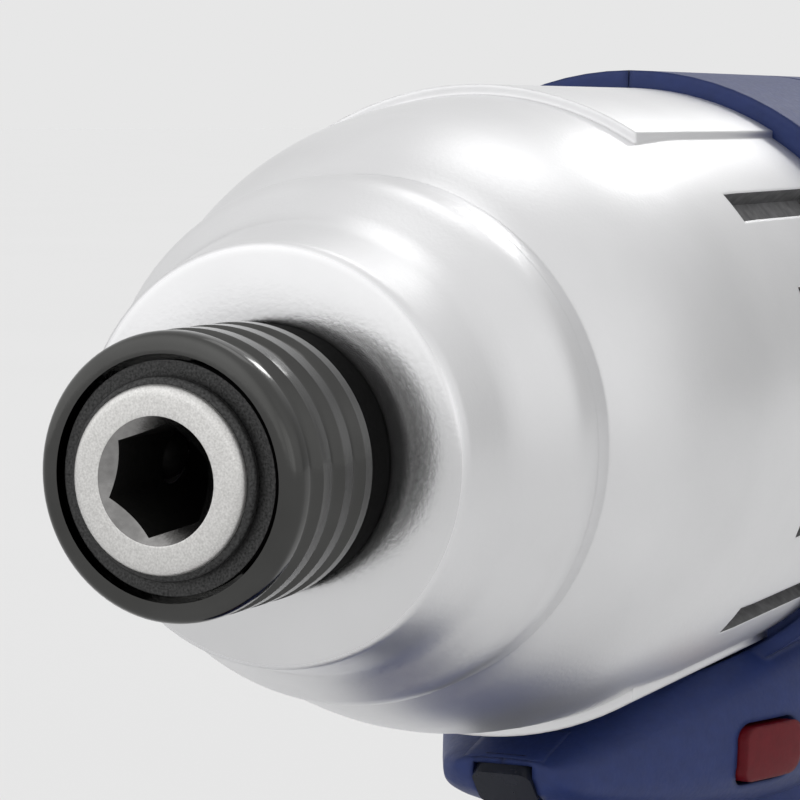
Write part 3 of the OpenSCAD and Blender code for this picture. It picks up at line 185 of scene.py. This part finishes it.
# %% Metal finishes of single faces and pieces
# Black nickel over turned steel: a dark mirror. Its turning marks are really about 0.1 mm
# apart, which is too fine to show, so they are drawn coarser
BLACK_NICKEL = finish(
    "Black nickel plate", "#4d4d4c", "#464645", mottle_mm=6, roughness=(0.10, 0.18),
    grain_mm=0.4, relief_mm=0.003, metallic=1.0, lines_mm=1.382)
# Phosphated and greased walls of the bit socket, painted near black as the shade deep in the
# socket: almost no light comes back
SOCKET_SHADE_BLACK = finish(
    "Phosphated socket wall, painted shade", "#161514", "#0a0a0a", mottle_mm=0.4, roughness=(0.5, 0.7),
    grain_mm=0.2, relief_mm=0.02, specular=0.2)
# Bright-cut countersink, smoother than the face so it mirrors the dark socket; its grey, darker
# than the face, is painted shade
BRIGHT_CUT_SHADED = finish(
    "Bright-cut steel, painted shade", "#8e8d8c", "#7c7b7a", mottle_mm=0.6, roughness=(0.12, 0.22),
    grain_mm=0.2, relief_mm=0.004, metallic=1.0)
# Front of the casting, faced on a lathe: smoother, so it mirrors the dark sleeve before it
CAST_FACED = finish(
    "Faced cast aluminium", "#d9d9da", "#d1d1d2", mottle_mm=14, roughness=(0.16, 0.24),
    grain_mm=0.30, relief_mm=0.006, metallic=1.0, edge_mm=0.4)
# Faces in the slots of the casting: a darker grey, which is painted shade in the slots
CAST_SLOT_SHADE = finish(
    "Painted shade in casting slots", "#757576", "#5c5c5d", mottle_mm=1.0, roughness=(0.6, 0.8),
    grain_mm=0.3, relief_mm=0.02, specular=0.2)
print("made 5 finishes of single faces and pieces")

# %% Finishes of the moulded pieces
MOULDED = {
    # Glass-filled nylon with a spark-eroded grain: dull, with a faint cloudiness
    "blue_nylon": finish(
        "Blue glass-filled nylon", "#213062", "#1e2c5a", mottle_mm=1.2, roughness=(0.42, 0.6),
        grain_mm=0.45, relief_mm=0.03, specular=0.3, edge_mm=0.8),
    "black_nylon": finish(
        "Black glass-filled nylon", "#222325", "#1e1f20", mottle_mm=1.2, roughness=(0.42, 0.6),
        grain_mm=0.45, relief_mm=0.03, edge_mm=0.7),
    # Moulded rubber: dark, soft gloss, hardly any mirror light
    "black_rubber": finish(
        "Black moulded rubber", "#161617", "#0c0c0d", mottle_mm=1.2, roughness=(0.6, 0.8),
        grain_mm=0.3, relief_mm=0.02, specular=0.3, edge_mm=0.4),
    # Acetal buttons: smooth and slightly waxy
    "red_nylon": finish(
        "Red acetal", "#5f0b16", "#550913", mottle_mm=1.2, roughness=(0.38, 0.5),
        grain_mm=0.35, relief_mm=0.008, specular=0.18, edge_mm=0.5),
    # Smoked polycarbonate lamp window: dark and glossy
    "lamp_window": finish(
        "Smoked polycarbonate", "#191c26", "#141720", mottle_mm=3.0, roughness=(0.22, 0.3),
        grain_mm=0.8, relief_mm=0.002, specular=0.18),
    # Circuit boards, seen through the vents at most: green lacquer with a soft gloss
    "circuit_board": finish(
        "Green solder mask", "#1f6b3c", "#155230", mottle_mm=1.5, roughness=(0.25, 0.4),
        grain_mm=0.6, relief_mm=0.01),
    # Shrink sleeve round each battery cell: tight glossy film
    "cell_sleeve": finish(
        "Shrink sleeve", "#1d7f8c", "#166874", mottle_mm=4.0, roughness=(0.2, 0.32),
        grain_mm=1.5, relief_mm=0.01),
}
# Nitrile rubber with a film of oil and dust: the blackest thing on the tool
SEAL_RUBBER = finish(
    "Nitrile seal", "#070707", "#030303", mottle_mm=1.0, roughness=(0.65, 0.8),
    grain_mm=0.3, relief_mm=0.01, specular=0.05)
FINISHES = {**METALS, **MOULDED}
print("made", len(MOULDED) + 1, "moulded finishes")

# %% Every CAD node takes the finish of its slot
for node, slot in SLOT_OF.items():
    shown = frame["nodes"][node]
    shown.data.materials.clear()
    shown.data.materials.append(FINISHES[slot])
# The detent balls deep in the socket are painted black too, as painted shade
frame["nodes"]["detent_balls"].data.materials[0] = SOCKET_SHADE_BLACK
print("dressed", len(SLOT_OF), "nodes")

# %% [markdown]
# ## Smooth copies
# The frame's meshes are loose triangles, which shade flat. A copy with its points merged can
# be shaded smooth across gentle angles and keep its sharp edges, so each piece that shows
# gets one. Remodelling them by hand would only repeat the CAD, and risk leaving its sizes.

# %% Helpers for pieces
MERGE_DISTANCE = 2e-6


def piece_from(bm, name, material, body, slot, *nodes):
    """Turns a bmesh into a piece that rides on a body and stands for CAD nodes."""
    mesh = bpy.data.meshes.new(name)
    bm.to_mesh(mesh)
    bm.free()
    mesh.materials.append(material)
    made = bpy.data.objects.new(name, mesh)
    bpy.context.scene.collection.objects.link(made)
    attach(made, body)
    if nodes:
        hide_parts(*nodes)
    return made


def merged(node):
    """A bmesh of a CAD node with its loose triangles joined."""
    bm = bmesh.new()
    bm.from_mesh(frame["nodes"][node].data)
    bm.transform(frame["nodes"][node].matrix_world)
    bmesh.ops.remove_doubles(bm, verts=bm.verts, dist=MERGE_DISTANCE)
    return bm


def shade(bm, degrees=32):
    """Marks faces smooth, apart from edges sharper than the angle."""
    limit = math.radians(degrees)
    for face in bm.faces:
        face.smooth = True
    for edge in bm.edges:
        edge.smooth = len(edge.link_faces) == 2 and edge.calc_face_angle(0.0) < limit


def smooth_copy(node, degrees=32, material=None):
    """A merged, smoothly shaded copy of a CAD node, in its place."""
    bm = merged(node)
    shade(bm, degrees)
    slot = SLOT_OF[node]
    return piece_from(bm, node + "_smooth", material or FINISHES[slot], BODY_OF[node], slot, node)


# %% Smooth copies of the shown pieces
SHOWN = ("left_grip right_grip trigger battery_tray battery_lid latch_button "
         "led_lens snap_ring sleeve_washer hook_inserts terminal_block fan").split()
for node in SHOWN:
    smooth_copy(node)
smooth_copy("bit_sleeve", material=BLACK_NICKEL)
smooth_copy("nose_seal", material=SEAL_RUBBER)
print("smoothed", len(SHOWN) + 2, "pieces")

# %% [markdown]
# ## Springs
# Four springs are pressed shorter as their piece moves. Each gets a smooth copy with its own
# mesh, shaded smooth across its round wire.

# %% Smooth copies of the springs
SPRINGS = {"hammer_spring": "hammer_slide", "sleeve_spring": "sleeve_slide",
           "trigger_spring": "trigger_slide", "latch_spring": "latch_press"}
WIRE_ANGLE = 70
for node, joint in SPRINGS.items():
    wire = smooth_copy(node, WIRE_ANGLE)
    way = Vector(JOINTS[joint]["axis"])
    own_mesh(wire)

# %% [markdown]
# ## Hammer case
# The case is one casting: a stepped nose, a groove, and a bell that runs into the straight
# rear part. The groove's floor is level with its front edge, so the copy lifts it there. The
# faces in the slots get a darker grey, which is painted shade, and the front is faced on a lathe,
# so their faces take materials of their own, picked by where they lie behind the tip and how
# far from the axis.

# %% Hammer case with its groove, faced front and painted shade in the slots
# In mm: how far behind the tip the groove lies, its least radius, and the lift of its floor
GROOVE_BEHIND, GROOVE_RADIUS, GROOVE_LIFT = (28.75, 31.0), 17, 0.25
# In mm: how far behind the tip and from the axis the faces of the slots lie
SLOT_BEHIND, SLOT_RADIUS = (56.5, 84), (22, 24.4)
# The faced front lies before this depth and looks forward
FRONT_BEHIND, FRONT_FACING = 24, 0.9
SLOT_SHADE, FACED = 1, 2

bm = merged("hammer_case")
for vert in bm.verts:
    behind = (TIP.x - vert.co.x) / MM
    out = Vector((0, vert.co.y, vert.co.z - TIP.z))
    if GROOVE_BEHIND[0] < behind < GROOVE_BEHIND[1] and out.length > GROOVE_RADIUS * MM:
        vert.co += out.normalized() * GROOVE_LIFT * MM
for face in bm.faces:
    middle = face.calc_center_median()
    behind = (TIP.x - middle.x) / MM
    radius = math.hypot(middle.y, middle.z - TIP.z) / MM
    in_slots = SLOT_BEHIND[0] < behind < SLOT_BEHIND[1]
    # Faces in the slots take the darker grey of painted shade
    if in_slots and SLOT_RADIUS[0] < radius < SLOT_RADIUS[1]:
        face.material_index = SLOT_SHADE
    elif behind < FRONT_BEHIND and face.normal.x > FRONT_FACING:
        face.material_index = FACED
shade(bm)
case = piece_from(bm, "hammer_case_cast", METALS["cast_aluminium"], "tool", "cast_aluminium",
                  "hammer_case")
case.data.materials.append(CAST_SLOT_SHADE)
case.data.materials.append(CAST_FACED)
for label, index in (("slot", SLOT_SHADE), ("faced front", FACED)):
    print(label, "faces:", sum(p.material_index == index for p in case.data.polygons))

# %% [markdown]
# ## Anvil
# The tip of the anvil is ground bright, but the walls of its hex socket stay dark from heat
# treatment and hold grease, and they are painted near black as the shade deep in the socket.
# Both are one steel piece, so the copy gets a second material on the faces that look towards
# the axis, deeper than the countersink, and a third on that, whose darker grey is painted shade.

# %% Anvil with painted shade in its socket and countersink
# In mm: reach from the axis, and depth of the countersink and of the socket behind the tip
SOCKET_RADIUS, COUNTERSINK_DEPTH, SOCKET_DEPTH = 4.2, 0.5, 30
# How far forward a wall and a countersink look, as the X part of their normal
WALL_FACING, COUNTERSINK_FACING = 0.5, (0.2, 0.98)
SHADED_WALL, SHADED_COUNTERSINK = 1, 2

bm = merged("anvil")
shade(bm)
for face in bm.faces:
    off = face.calc_center_median() - TIP
    out = Vector((0, off.y, off.z))
    if out.length >= SOCKET_RADIUS * MM:
        continue
    deep = COUNTERSINK_DEPTH < -off.x / MM < SOCKET_DEPTH
    # Walls deeper than the countersink are painted near black, and the countersink a darker grey:
    # both painted shade of the socket
    if deep and face.normal.dot(out) <= 0 and abs(face.normal.x) < WALL_FACING:
        face.material_index = SHADED_WALL
    elif COUNTERSINK_FACING[0] < face.normal.x < COUNTERSINK_FACING[1]:
        face.material_index = SHADED_COUNTERSINK
anvil = piece_from(bm, "anvil_steel", METALS["satin_steel"], "anvil", "satin_steel", "anvil")
anvil.data.materials.append(SOCKET_SHADE_BLACK)
anvil.data.materials.append(BRIGHT_CUT_SHADED)
print("socket and countersink faces:", sum(p.material_index > 0 for p in anvil.data.polygons))

# %% [markdown]
# ## Housing halves
# The clamshell is two mouldings that meet on the middle plane. On the real tool each edge of
# the joint is slightly broken, which shows as a fine dark line. The copies inset the faces
# that meet and draw their rims back, so the line is a real groove with the joint still shut.

# %% Housing halves with their parting line
PARTING = 0.12 * MM
CHAMFER = 0.3 * MM
ON_PLANE = 1e-6
HOUSING_ANGLE = 40
for node, side in (("left_housing", 1), ("right_housing", -1)):
    bm = merged(node)
    meeting = [f for f in bm.faces if all(abs(v.co.y) < ON_PLANE for v in f.verts)]
    inside = set(meeting)
    rim = {v for f in meeting for v in f.verts if any(g not in inside for g in v.link_faces)}
    bmesh.ops.inset_region(bm, faces=meeting, thickness=CHAMFER, use_boundary=True,
                           use_even_offset=False)
    for vert in rim:
        vert.co.y = side * PARTING
    shade(bm, HOUSING_ANGLE)
    made = piece_from(bm, node + "_shell", MOULDED["blue_nylon"], "tool", "blue_nylon", node)
    print(made.name, len(made.data.polygons), "faces")

# %% [markdown]
# ## Chin
# The lamp sits in the tip of the chin. The skin of the moulding is very thin over the lamp's
# board, so a patch that follows the chin's section closes it, and the board keeps below the
# patch. The direction switch, a red bar through the chin, is shown with its right end flush.

# %% Surface of the chin
# Share of the chin's length, then top, bottom and half width in mm from the chin's own zero,
# as in the CAD
CHIN_ROWS = [(0, -3.35, -4.71, 4.05), (0.025, -2.98, -6.2, 5.52), (0.065, -2.6, -7.19, 6.35),
             (0.15, -1.74, -8.43, 8.1), (0.31, 0.62, -10.6, 11.22)]
# Tip of the chin, height of its zero and its length in mm, and the power of its rounded section
CHIN_X, CHIN_Z, CHIN_L, CHIN_POWER = 43.0, 147.4, 46.0, 3


def between(rows, share):
    """The values of a table of sections at a share of its length."""
    low = max(i for i, row in enumerate(rows[:-1]) if row[0] <= share)
    a, b = rows[low], rows[low + 1]
    part = (share - a[0]) / (b[0] - a[0])
    return [p + (q - p) * part for p, q in zip(a[1:], b[1:])]


def chin_top(x, y):
    """Height in mm of the chin's upper surface."""
    top, bottom, half = between(CHIN_ROWS, (CHIN_X - x) / CHIN_L)
    rise = (1 - abs(y / half) ** CHIN_POWER) ** (1 / CHIN_POWER)
    return CHIN_Z + (top + bottom) / 2 + (top - bottom) / 2 * rise


# %% Skin over the lamp board
# Ends and half width of the patch, and how far it stands above and reaches below the surface,
# in mm
PATCH_X, PATCH_HALF = (36.8, 42.7), 3.4
PROUD, THICK = 0.03, 0.5
CELLS = 16
grid = range(CELLS + 1)

bm = bmesh.new()
layers = []
for rise in (PROUD, -THICK):
    rows = []
    for i in grid:
        x = PATCH_X[0] + (PATCH_X[1] - PATCH_X[0]) * i / CELLS
        ys = [PATCH_HALF * (2 * j / CELLS - 1) for j in grid]
        rows.append([bm.verts.new(Vector((x, y, chin_top(x, y) + rise)) * MM) for y in ys])
    layers.append(rows)
for rows in layers:
    for i in range(CELLS):
        for j in range(CELLS):
            bm.faces.new((rows[i][j], rows[i + 1][j], rows[i + 1][j + 1], rows[i][j + 1]))
upper, lower = layers
rims = [[(k, 0) for k in grid], [(k, CELLS) for k in grid],
        [(0, k) for k in grid], [(CELLS, k) for k in grid]]
for rim in rims:
    for (i, j), (k, m) in zip(rim, rim[1:]):
        bm.faces.new((upper[i][j], upper[k][m], lower[k][m], lower[i][j]))
bmesh.ops.recalc_face_normals(bm, faces=bm.faces)
shade(bm, HOUSING_ANGLE)
patch = piece_from(bm, "chin_skin", MOULDED["blue_nylon"], "tool", "blue_nylon")
print("chin skin:", len(patch.data.polygons), "faces")

# %% Lamp board and direction switch
# The board ends under the patch, and the right end of the switch is drawn in to the surface
BOARD_TOP = 144.1 * MM
SWITCH_FLUSH = 0.7 * MM

bm = merged("led_board")
for vert in bm.verts:
    vert.co.z = min(vert.co.z, BOARD_TOP)
shade(bm)
piece_from(bm, "led_board_seated", MOULDED["circuit_board"], "tool", "circuit_board", "led_board")

bm = merged("direction_switch")
for vert in bm.verts:
    if vert.co.y < 0:
        vert.co.y += SWITCH_FLUSH
shade(bm)
switch = piece_from(bm, "direction_bar", MOULDED["red_nylon"], "direction", "red_nylon",
                    "direction_switch")
print("direction switch:", len(switch.data.polygons), "faces")

# %% [markdown]
# ## Ribs on the grip
# The rubber carries rows of raised ribs where the palm lies. They repeat and follow the
# grip's outline, so Geometry Nodes sweep one round section along outlines taken at even
# heights. Drawing them in a bump map would be quicker but would leave the outline smooth.

# %% Outlines of the grip
# Height share, foot share and neck share of the grip's sections, as in the CAD
GRIP_ROWS = [(0.235, 0.17, 0), (0.27, 0.085, 0), (0.36, 0, 0), (0.5, 0, 0.06), (0.62, 0, 0.22),
             (0.72, 0, 0.5)]
FOOT_Z, LOWER_H = 42.4, 129.6
# Each in mm at the waist, what the foot adds, and what the neck adds
GRIP_FRONT, GRIP_REAR, GRIP_WIDTH = (8, 39.3, 14), (34, 16.05, 2), (34, 33, 2)
# Power of the rounded section at the waist, and what the foot adds
WAIST_POWER, FOOT_POWER = 2.5, 2.5


def grip_section(z):
    """Front, rear, half width and squareness of the grip at a height in mm."""
    foot, neck = between(GRIP_ROWS, (z - FOOT_Z) / LOWER_H)
    front, rear, width = (waist + foot * at_foot + neck * at_neck
                          for waist, at_foot, at_neck in (GRIP_FRONT, GRIP_REAR, GRIP_WIDTH))
    return front, rear, width / 2, 2 / (WAIST_POWER + FOOT_POWER * foot)


# %% Lines of the ribs
# Bore of the grip's screw on the right side: x, z and the radius that the ribs keep clear, in mm
BORE_X, BORE_Z, BORE_CLEAR = -25, 96.83, 5.2
# First height and pitch of the ribs, and how deep their middle lies in the rubber, in mm
RIB_Z, RIB_PITCH, RIB_SINK = 82, 3.4, 0.35
RIB_COUNT = 13
# Where a rib runs round the section, in degrees from the front, and the longest step along it
RIB_TURN = range(97, 172, 2)
LONGEST_STEP = 3 * MM


def rib_line(z, side):
    """Points of one rib on one side of the grip, sunk a little into the rubber."""
    front, rear, half, power = grip_section(z)
    points = []
    for turn in RIB_TURN:
        c, s = math.cos(math.radians(turn)), math.sin(math.radians(turn))
        x = (front - rear) / 2 - ((front + rear) / 2 - RIB_SINK) * abs(c) ** power
        points.append(Vector((x, side * (half - RIB_SINK) * s ** power, z)) * MM)
    if side < 0:
        bore = Vector((BORE_X, BORE_Z)) * MM
        points = [p for p in points if (Vector((p.x, p.z)) - bore).length > BORE_CLEAR * MM]
    return points


bm = bmesh.new()
for k in range(RIB_COUNT):
    for side in (1, -1):
        verts = [bm.verts.new(p) for p in rib_line(RIB_Z + RIB_PITCH * k, side)]
        for a, b in zip(verts, verts[1:]):
            if (a.co - b.co).length < LONGEST_STEP:
                bm.edges.new((a, b))
rib_lines = bpy.data.meshes.new("grip_ribs")
bm.to_mesh(rib_lines)
bm.free()
print("rib lines:", 2 * RIB_COUNT)

# %% Helpers for Geometry Nodes
def node_group(name, inputs):
    """A Geometry Nodes group with a geometry input and output and named float inputs."""
    tree = bpy.data.node_groups.new(name, "GeometryNodeTree")
    tree.interface.new_socket("Geometry", in_out="INPUT", socket_type="NodeSocketGeometry")
    for label in inputs:
        tree.interface.new_socket(label, in_out="INPUT", socket_type="NodeSocketFloat")
    tree.interface.new_socket("Geometry", in_out="OUTPUT", socket_type="NodeSocketGeometry")
    return tree, tree.nodes.new("NodeGroupInput"), tree.nodes.new("NodeGroupOutput")


def grown(source, tree, values):
    """Runs a node group on a mesh and returns the result as a bmesh."""
    holder = bpy.data.objects.new("holder", source)
    bpy.context.scene.collection.objects.link(holder)
    modifier = holder.modifiers.new("grow", "NODES")
    modifier.node_group = tree
    for item in tree.interface.items_tree:
        if item.in_out == "INPUT" and item.name in values:
            modifier[item.identifier] = values[item.name]
    seen = holder.evaluated_get(bpy.context.evaluated_depsgraph_get())
    bm = bmesh.new()
    bm.from_mesh(bpy.data.meshes.new_from_object(seen))
    bpy.data.objects.remove(holder)
    return bm


# %% Sweep the ribs
RIB_RADIUS = 0.75 * MM
RIB_SIDES, RIB_ANGLE = 10, 50
sweep, given, result = node_group("rib_sweep", ["Rib radius"])
path = add(sweep, "GeometryNodeMeshToCurve", links={"Mesh": given.outputs["Geometry"]})
section = add(sweep, "GeometryNodeCurvePrimitiveCircle", {"Resolution": RIB_SIDES},
              {"Radius": given.outputs["Rib radius"]})
tube = add(sweep, "GeometryNodeCurveToMesh", {"Fill Caps": True},
           {"Curve": path.outputs["Curve"], "Profile Curve": section.outputs["Curve"]})
real = add(sweep, "GeometryNodeRealizeInstances", links={"Geometry": tube.outputs["Mesh"]})
skin = add(sweep, "GeometryNodeSetMaterial", {"Material": MOULDED["black_rubber"]},
           {"Geometry": real.outputs["Geometry"]})
sweep.links.new(skin.outputs["Geometry"], result.inputs["Geometry"])

bm = grown(rib_lines, sweep, {"Rib radius": RIB_RADIUS})
bmesh.ops.recalc_face_normals(bm, faces=bm.faces)
shade(bm, RIB_ANGLE)
ribs = piece_from(bm, "grip_ribs", MOULDED["black_rubber"], "tool", "black_rubber")
print("ribs:", len(ribs.data.polygons), "faces")

# %% [markdown]
# ## Screws
# The halves are held by pan-head screws with a six-lobe drive, down open bores on the right
# side, and the battery by smaller ones underneath. One head is modelled as a lathe shape with
# its recess, and Geometry Nodes set a copy on each point, so all heads stay alike.

# %% Head of a screw
# From the head's underside to the floor of its recess: share of the radius, share of the
# height, and 1 where the six lobes cut in
HEAD_OUTLINE = [(1.0, 0.0, 0), (1.0, 0.55, 0), (0.9, 0.88, 0), (0.7, 1.0, 0), (0.5, 1.0, 1),
                (0.46, 0.35, 1)]
LOBES, LOBE_DEPTH = 6, 0.14
HEAD_SIDES, HEAD_ANGLE = 48, 40


def screw_head(radius, height, shank, length):
    """A head with a domed rim and a six-lobe recess on a plain shank, along +Z, in mm."""
    bm = bmesh.new()
    outline = [(shank, -length, 0), (shank, 0, 0)]
    outline += [(radius * r, height * z, lobe) for r, z, lobe in HEAD_OUTLINE]
    rings = []
    for r, z, lobe in outline:
        ring = []
        for k in range(HEAD_SIDES):
            a = 2 * math.pi * k / HEAD_SIDES
            reach = r * (1 + lobe * LOBE_DEPTH * math.cos(LOBES * a))
            ring.append(bm.verts.new(Vector((reach * math.cos(a), reach * math.sin(a), z)) * MM))
        rings.append(ring)
    for low, high in zip(rings, rings[1:]):
        for k in range(HEAD_SIDES):
            j = (k + 1) % HEAD_SIDES
            bm.faces.new((low[k], low[j], high[j], high[k]))
    bm.faces.new(rings[-1])
    bm.faces.new(list(reversed(rings[0])))
    bmesh.ops.recalc_face_normals(bm, faces=bm.faces)
    return bm


# %% A function that sets screws on points
def set_screws(name, head, points, turn, body, node):
    """Copies of one head on points, all turned alike, in place of a CAD node of screws."""
    source = bpy.data.meshes.new(name + "_head")
    head.to_mesh(source)
    head.free()
    holder = bpy.data.objects.new(name + "_head", source)
    tree, given, result = node_group(name + "_set", ["Scale"])
    shape = add(tree, "GeometryNodeObjectInfo", {"Object": holder})
    placed = add(tree, "GeometryNodeInstanceOnPoints", {"Rotation": turn},
                 {"Points": given.outputs["Geometry"], "Instance": shape.outputs["Geometry"],
                  "Scale": given.outputs["Scale"]})
    real = add(tree, "GeometryNodeRealizeInstances",
               links={"Geometry": placed.outputs["Instances"]})
    skin = add(tree, "GeometryNodeSetMaterial", {"Material": METALS["dark_steel"]},
               {"Geometry": real.outputs["Geometry"]})
    tree.links.new(skin.outputs["Geometry"], result.inputs["Geometry"])
    dots = bpy.data.meshes.new(name + "_points")
    dots.from_pydata([tuple(p) for p in points], [], [])
    bm = grown(dots, tree, {"Scale": 1.0})
    bpy.data.objects.remove(holder)
    shade(bm, HEAD_ANGLE)
    made = piece_from(bm, name, METALS["dark_steel"], body, "dark_steel", node)
    print(name, len(points), "screws,", len(made.data.polygons), "faces")


# %% Set the screws
# Places in mm: x and z of the housing's screws, x and y of the battery's, and their seats
HOUSING_SCREWS = [(11.16, 141.2), (-25, 135), (BORE_X, BORE_Z), (-38.05, 56.4), (35.3, 56.4)]
HOUSING_SEAT_Y = -8.0
BATTERY_SCREWS = [(x, y) for x in (-51.3, 51.3) for y in (-21, 21)]
BATTERY_SEAT_Z = 1.8
FACING_RIGHT, FACING_DOWN = (math.radians(90), 0, 0), (math.radians(180), 0, 0)

set_screws("housing_screw_set", screw_head(radius=3.0, height=2.2, shank=1.48, length=18),
           [Vector((x, HOUSING_SEAT_Y, z)) * MM for x, z in HOUSING_SCREWS],
           FACING_RIGHT, "tool", "housing_screws")
set_screws("battery_screw_set", screw_head(radius=2.0, height=1.3, shank=1.1, length=28),
           [Vector((x, y, BATTERY_SEAT_Z)) * MM for x, y in BATTERY_SCREWS],
           FACING_DOWN, "battery", "battery_screws")

# %% [markdown]
# ## Studio
# A pale floor runs far past the view, two soft lamps hang over and behind the nose, and the
# world is a pale room, brighter overhead, so metal reflects it as it does a light tent. The
# floor's colour is chosen so that far away it renders like the wall, with no horizon line.

# %% Floor
FLOOR_RADIUS = 60.0
bm = bmesh.new()
bmesh.ops.create_circle(bm, cap_ends=True, segments=64, radius=FLOOR_RADIUS)
mesh = bpy.data.meshes.new("floor")
bm.to_mesh(mesh)
bm.free()
floor = bpy.data.objects.new("floor", mesh)
bpy.context.scene.collection.objects.link(floor)
# Matt backdrop paper: one even tone without any mirror light
floor.data.materials.append(finish(
    "Pale studio floor", "#e1e1e1", "#e0e0e0", mottle_mm=400, roughness=(0.9, 1.0),
    grain_mm=20, relief_mm=0.001, specular=0.0))
print("floor:", FLOOR_RADIUS, "m")

# %% Lamps
LAMP_SPREAD = math.radians(70)


def lamp(name, spot, size, power):
    """A soft square lamp at a spot, turned to the nose."""
    data = bpy.data.lights.new(name, "AREA")
    data.size = size
    data.energy = power
    data.spread = LAMP_SPREAD
    made = bpy.data.objects.new(name, data)
    made.location = spot
    made.rotation_euler = (TIP - Vector(spot)).to_track_quat("-Z", "Y").to_euler()
    made.visible_camera = False
    bpy.context.scene.collection.objects.link(made)
    print(name, power, "W")


lamp("top_softbox", (-0.37, 0.04, 1.05), size=0.45, power=0.10)
lamp("rear_softbox", (-0.71, 0.05, 0.66), size=0.13, power=0.06)

# %% World
# Height of the view's direction and colour of the room there
ROOM = [(0.12, "#e7e7e7"), (0.9, "#fbfbfb")]
# Panels of the room: direction, where its edge and its full effect lie as the cosine of the
# angle to it, and its brightness against the wall
PANELS = [
    ((0.75, -0.6, 0.3), 0.35, 0.9, 1.65),
    ((0.78, 0.62, 0.08), 0.9, 0.985, 1.55),
    ((0.2, 0.98, 0.0), 0.6, 0.95, 1.18),
    ((-0.88, 0.47, -0.1), 0.75, 0.98, 0.7),
]
world = bpy.data.worlds.new("studio")
bpy.context.scene.world = world
world.use_nodes = True
tree = world.node_tree
background = tree.nodes["Background"]
way = add(tree, "ShaderNodeTexCoord").outputs["Generated"]
height = add(tree, "ShaderNodeSeparateXYZ", links={"Vector": way})
room = add(tree, "ShaderNodeValToRGB", links={"Fac": height.outputs["Z"]})
for stop, (position, colour) in zip(room.color_ramp.elements, ROOM):
    stop.position = position
    stop.color = linear(colour)
tree.links.new(room.outputs["Color"], background.inputs["Color"])

strength = None
for aim, edge, full, level in PANELS:
    towards = add(tree, "ShaderNodeVectorMath", {1: Vector(aim).normalized()}, {0: way},
                  operation="DOT_PRODUCT")
    panel = add(tree, "ShaderNodeMapRange",
                {"From Min": edge, "From Max": full, "To Min": 1.0, "To Max": level},
                {"Value": towards.outputs["Value"]}, interpolation_type="SMOOTHSTEP")
    if strength is None:
        strength = panel.outputs["Result"]
    else:
        strength = add(tree, "ShaderNodeMath", links={0: strength, 1: panel.outputs["Result"]},
                       operation="MULTIPLY").outputs[0]
tree.links.new(strength, background.inputs["Strength"])
print("room with", len(PANELS), "panels")

# %% Camera
# Focal length and width of the picture in pixels, as solved from the rings of the nose
FOCAL_PX, PICTURE_PX = 3217, 800
# Where the camera stands from the tip, in mm, and the way it looks
STAND, AHEAD = Vector((174.7, 94.6, 22.4)), Vector((-0.9097, -0.4061, -0.0872))
lens = bpy.data.cameras.new("camera")
lens.sensor_width = 36.0
lens.lens = lens.sensor_width * FOCAL_PX / PICTURE_PX
lens.clip_start, lens.clip_end = 0.01, 200.0
camera = bpy.data.objects.new("camera", lens)
camera.location = TIP + STAND * MM
camera.rotation_euler = AHEAD.normalized().to_track_quat("-Z", "Y").to_euler()
bpy.context.scene.collection.objects.link(camera)
bpy.context.scene.camera = camera
bpy.context.scene.view_settings.view_transform = "Standard"
print("camera:", round(lens.lens, 1), "mm")
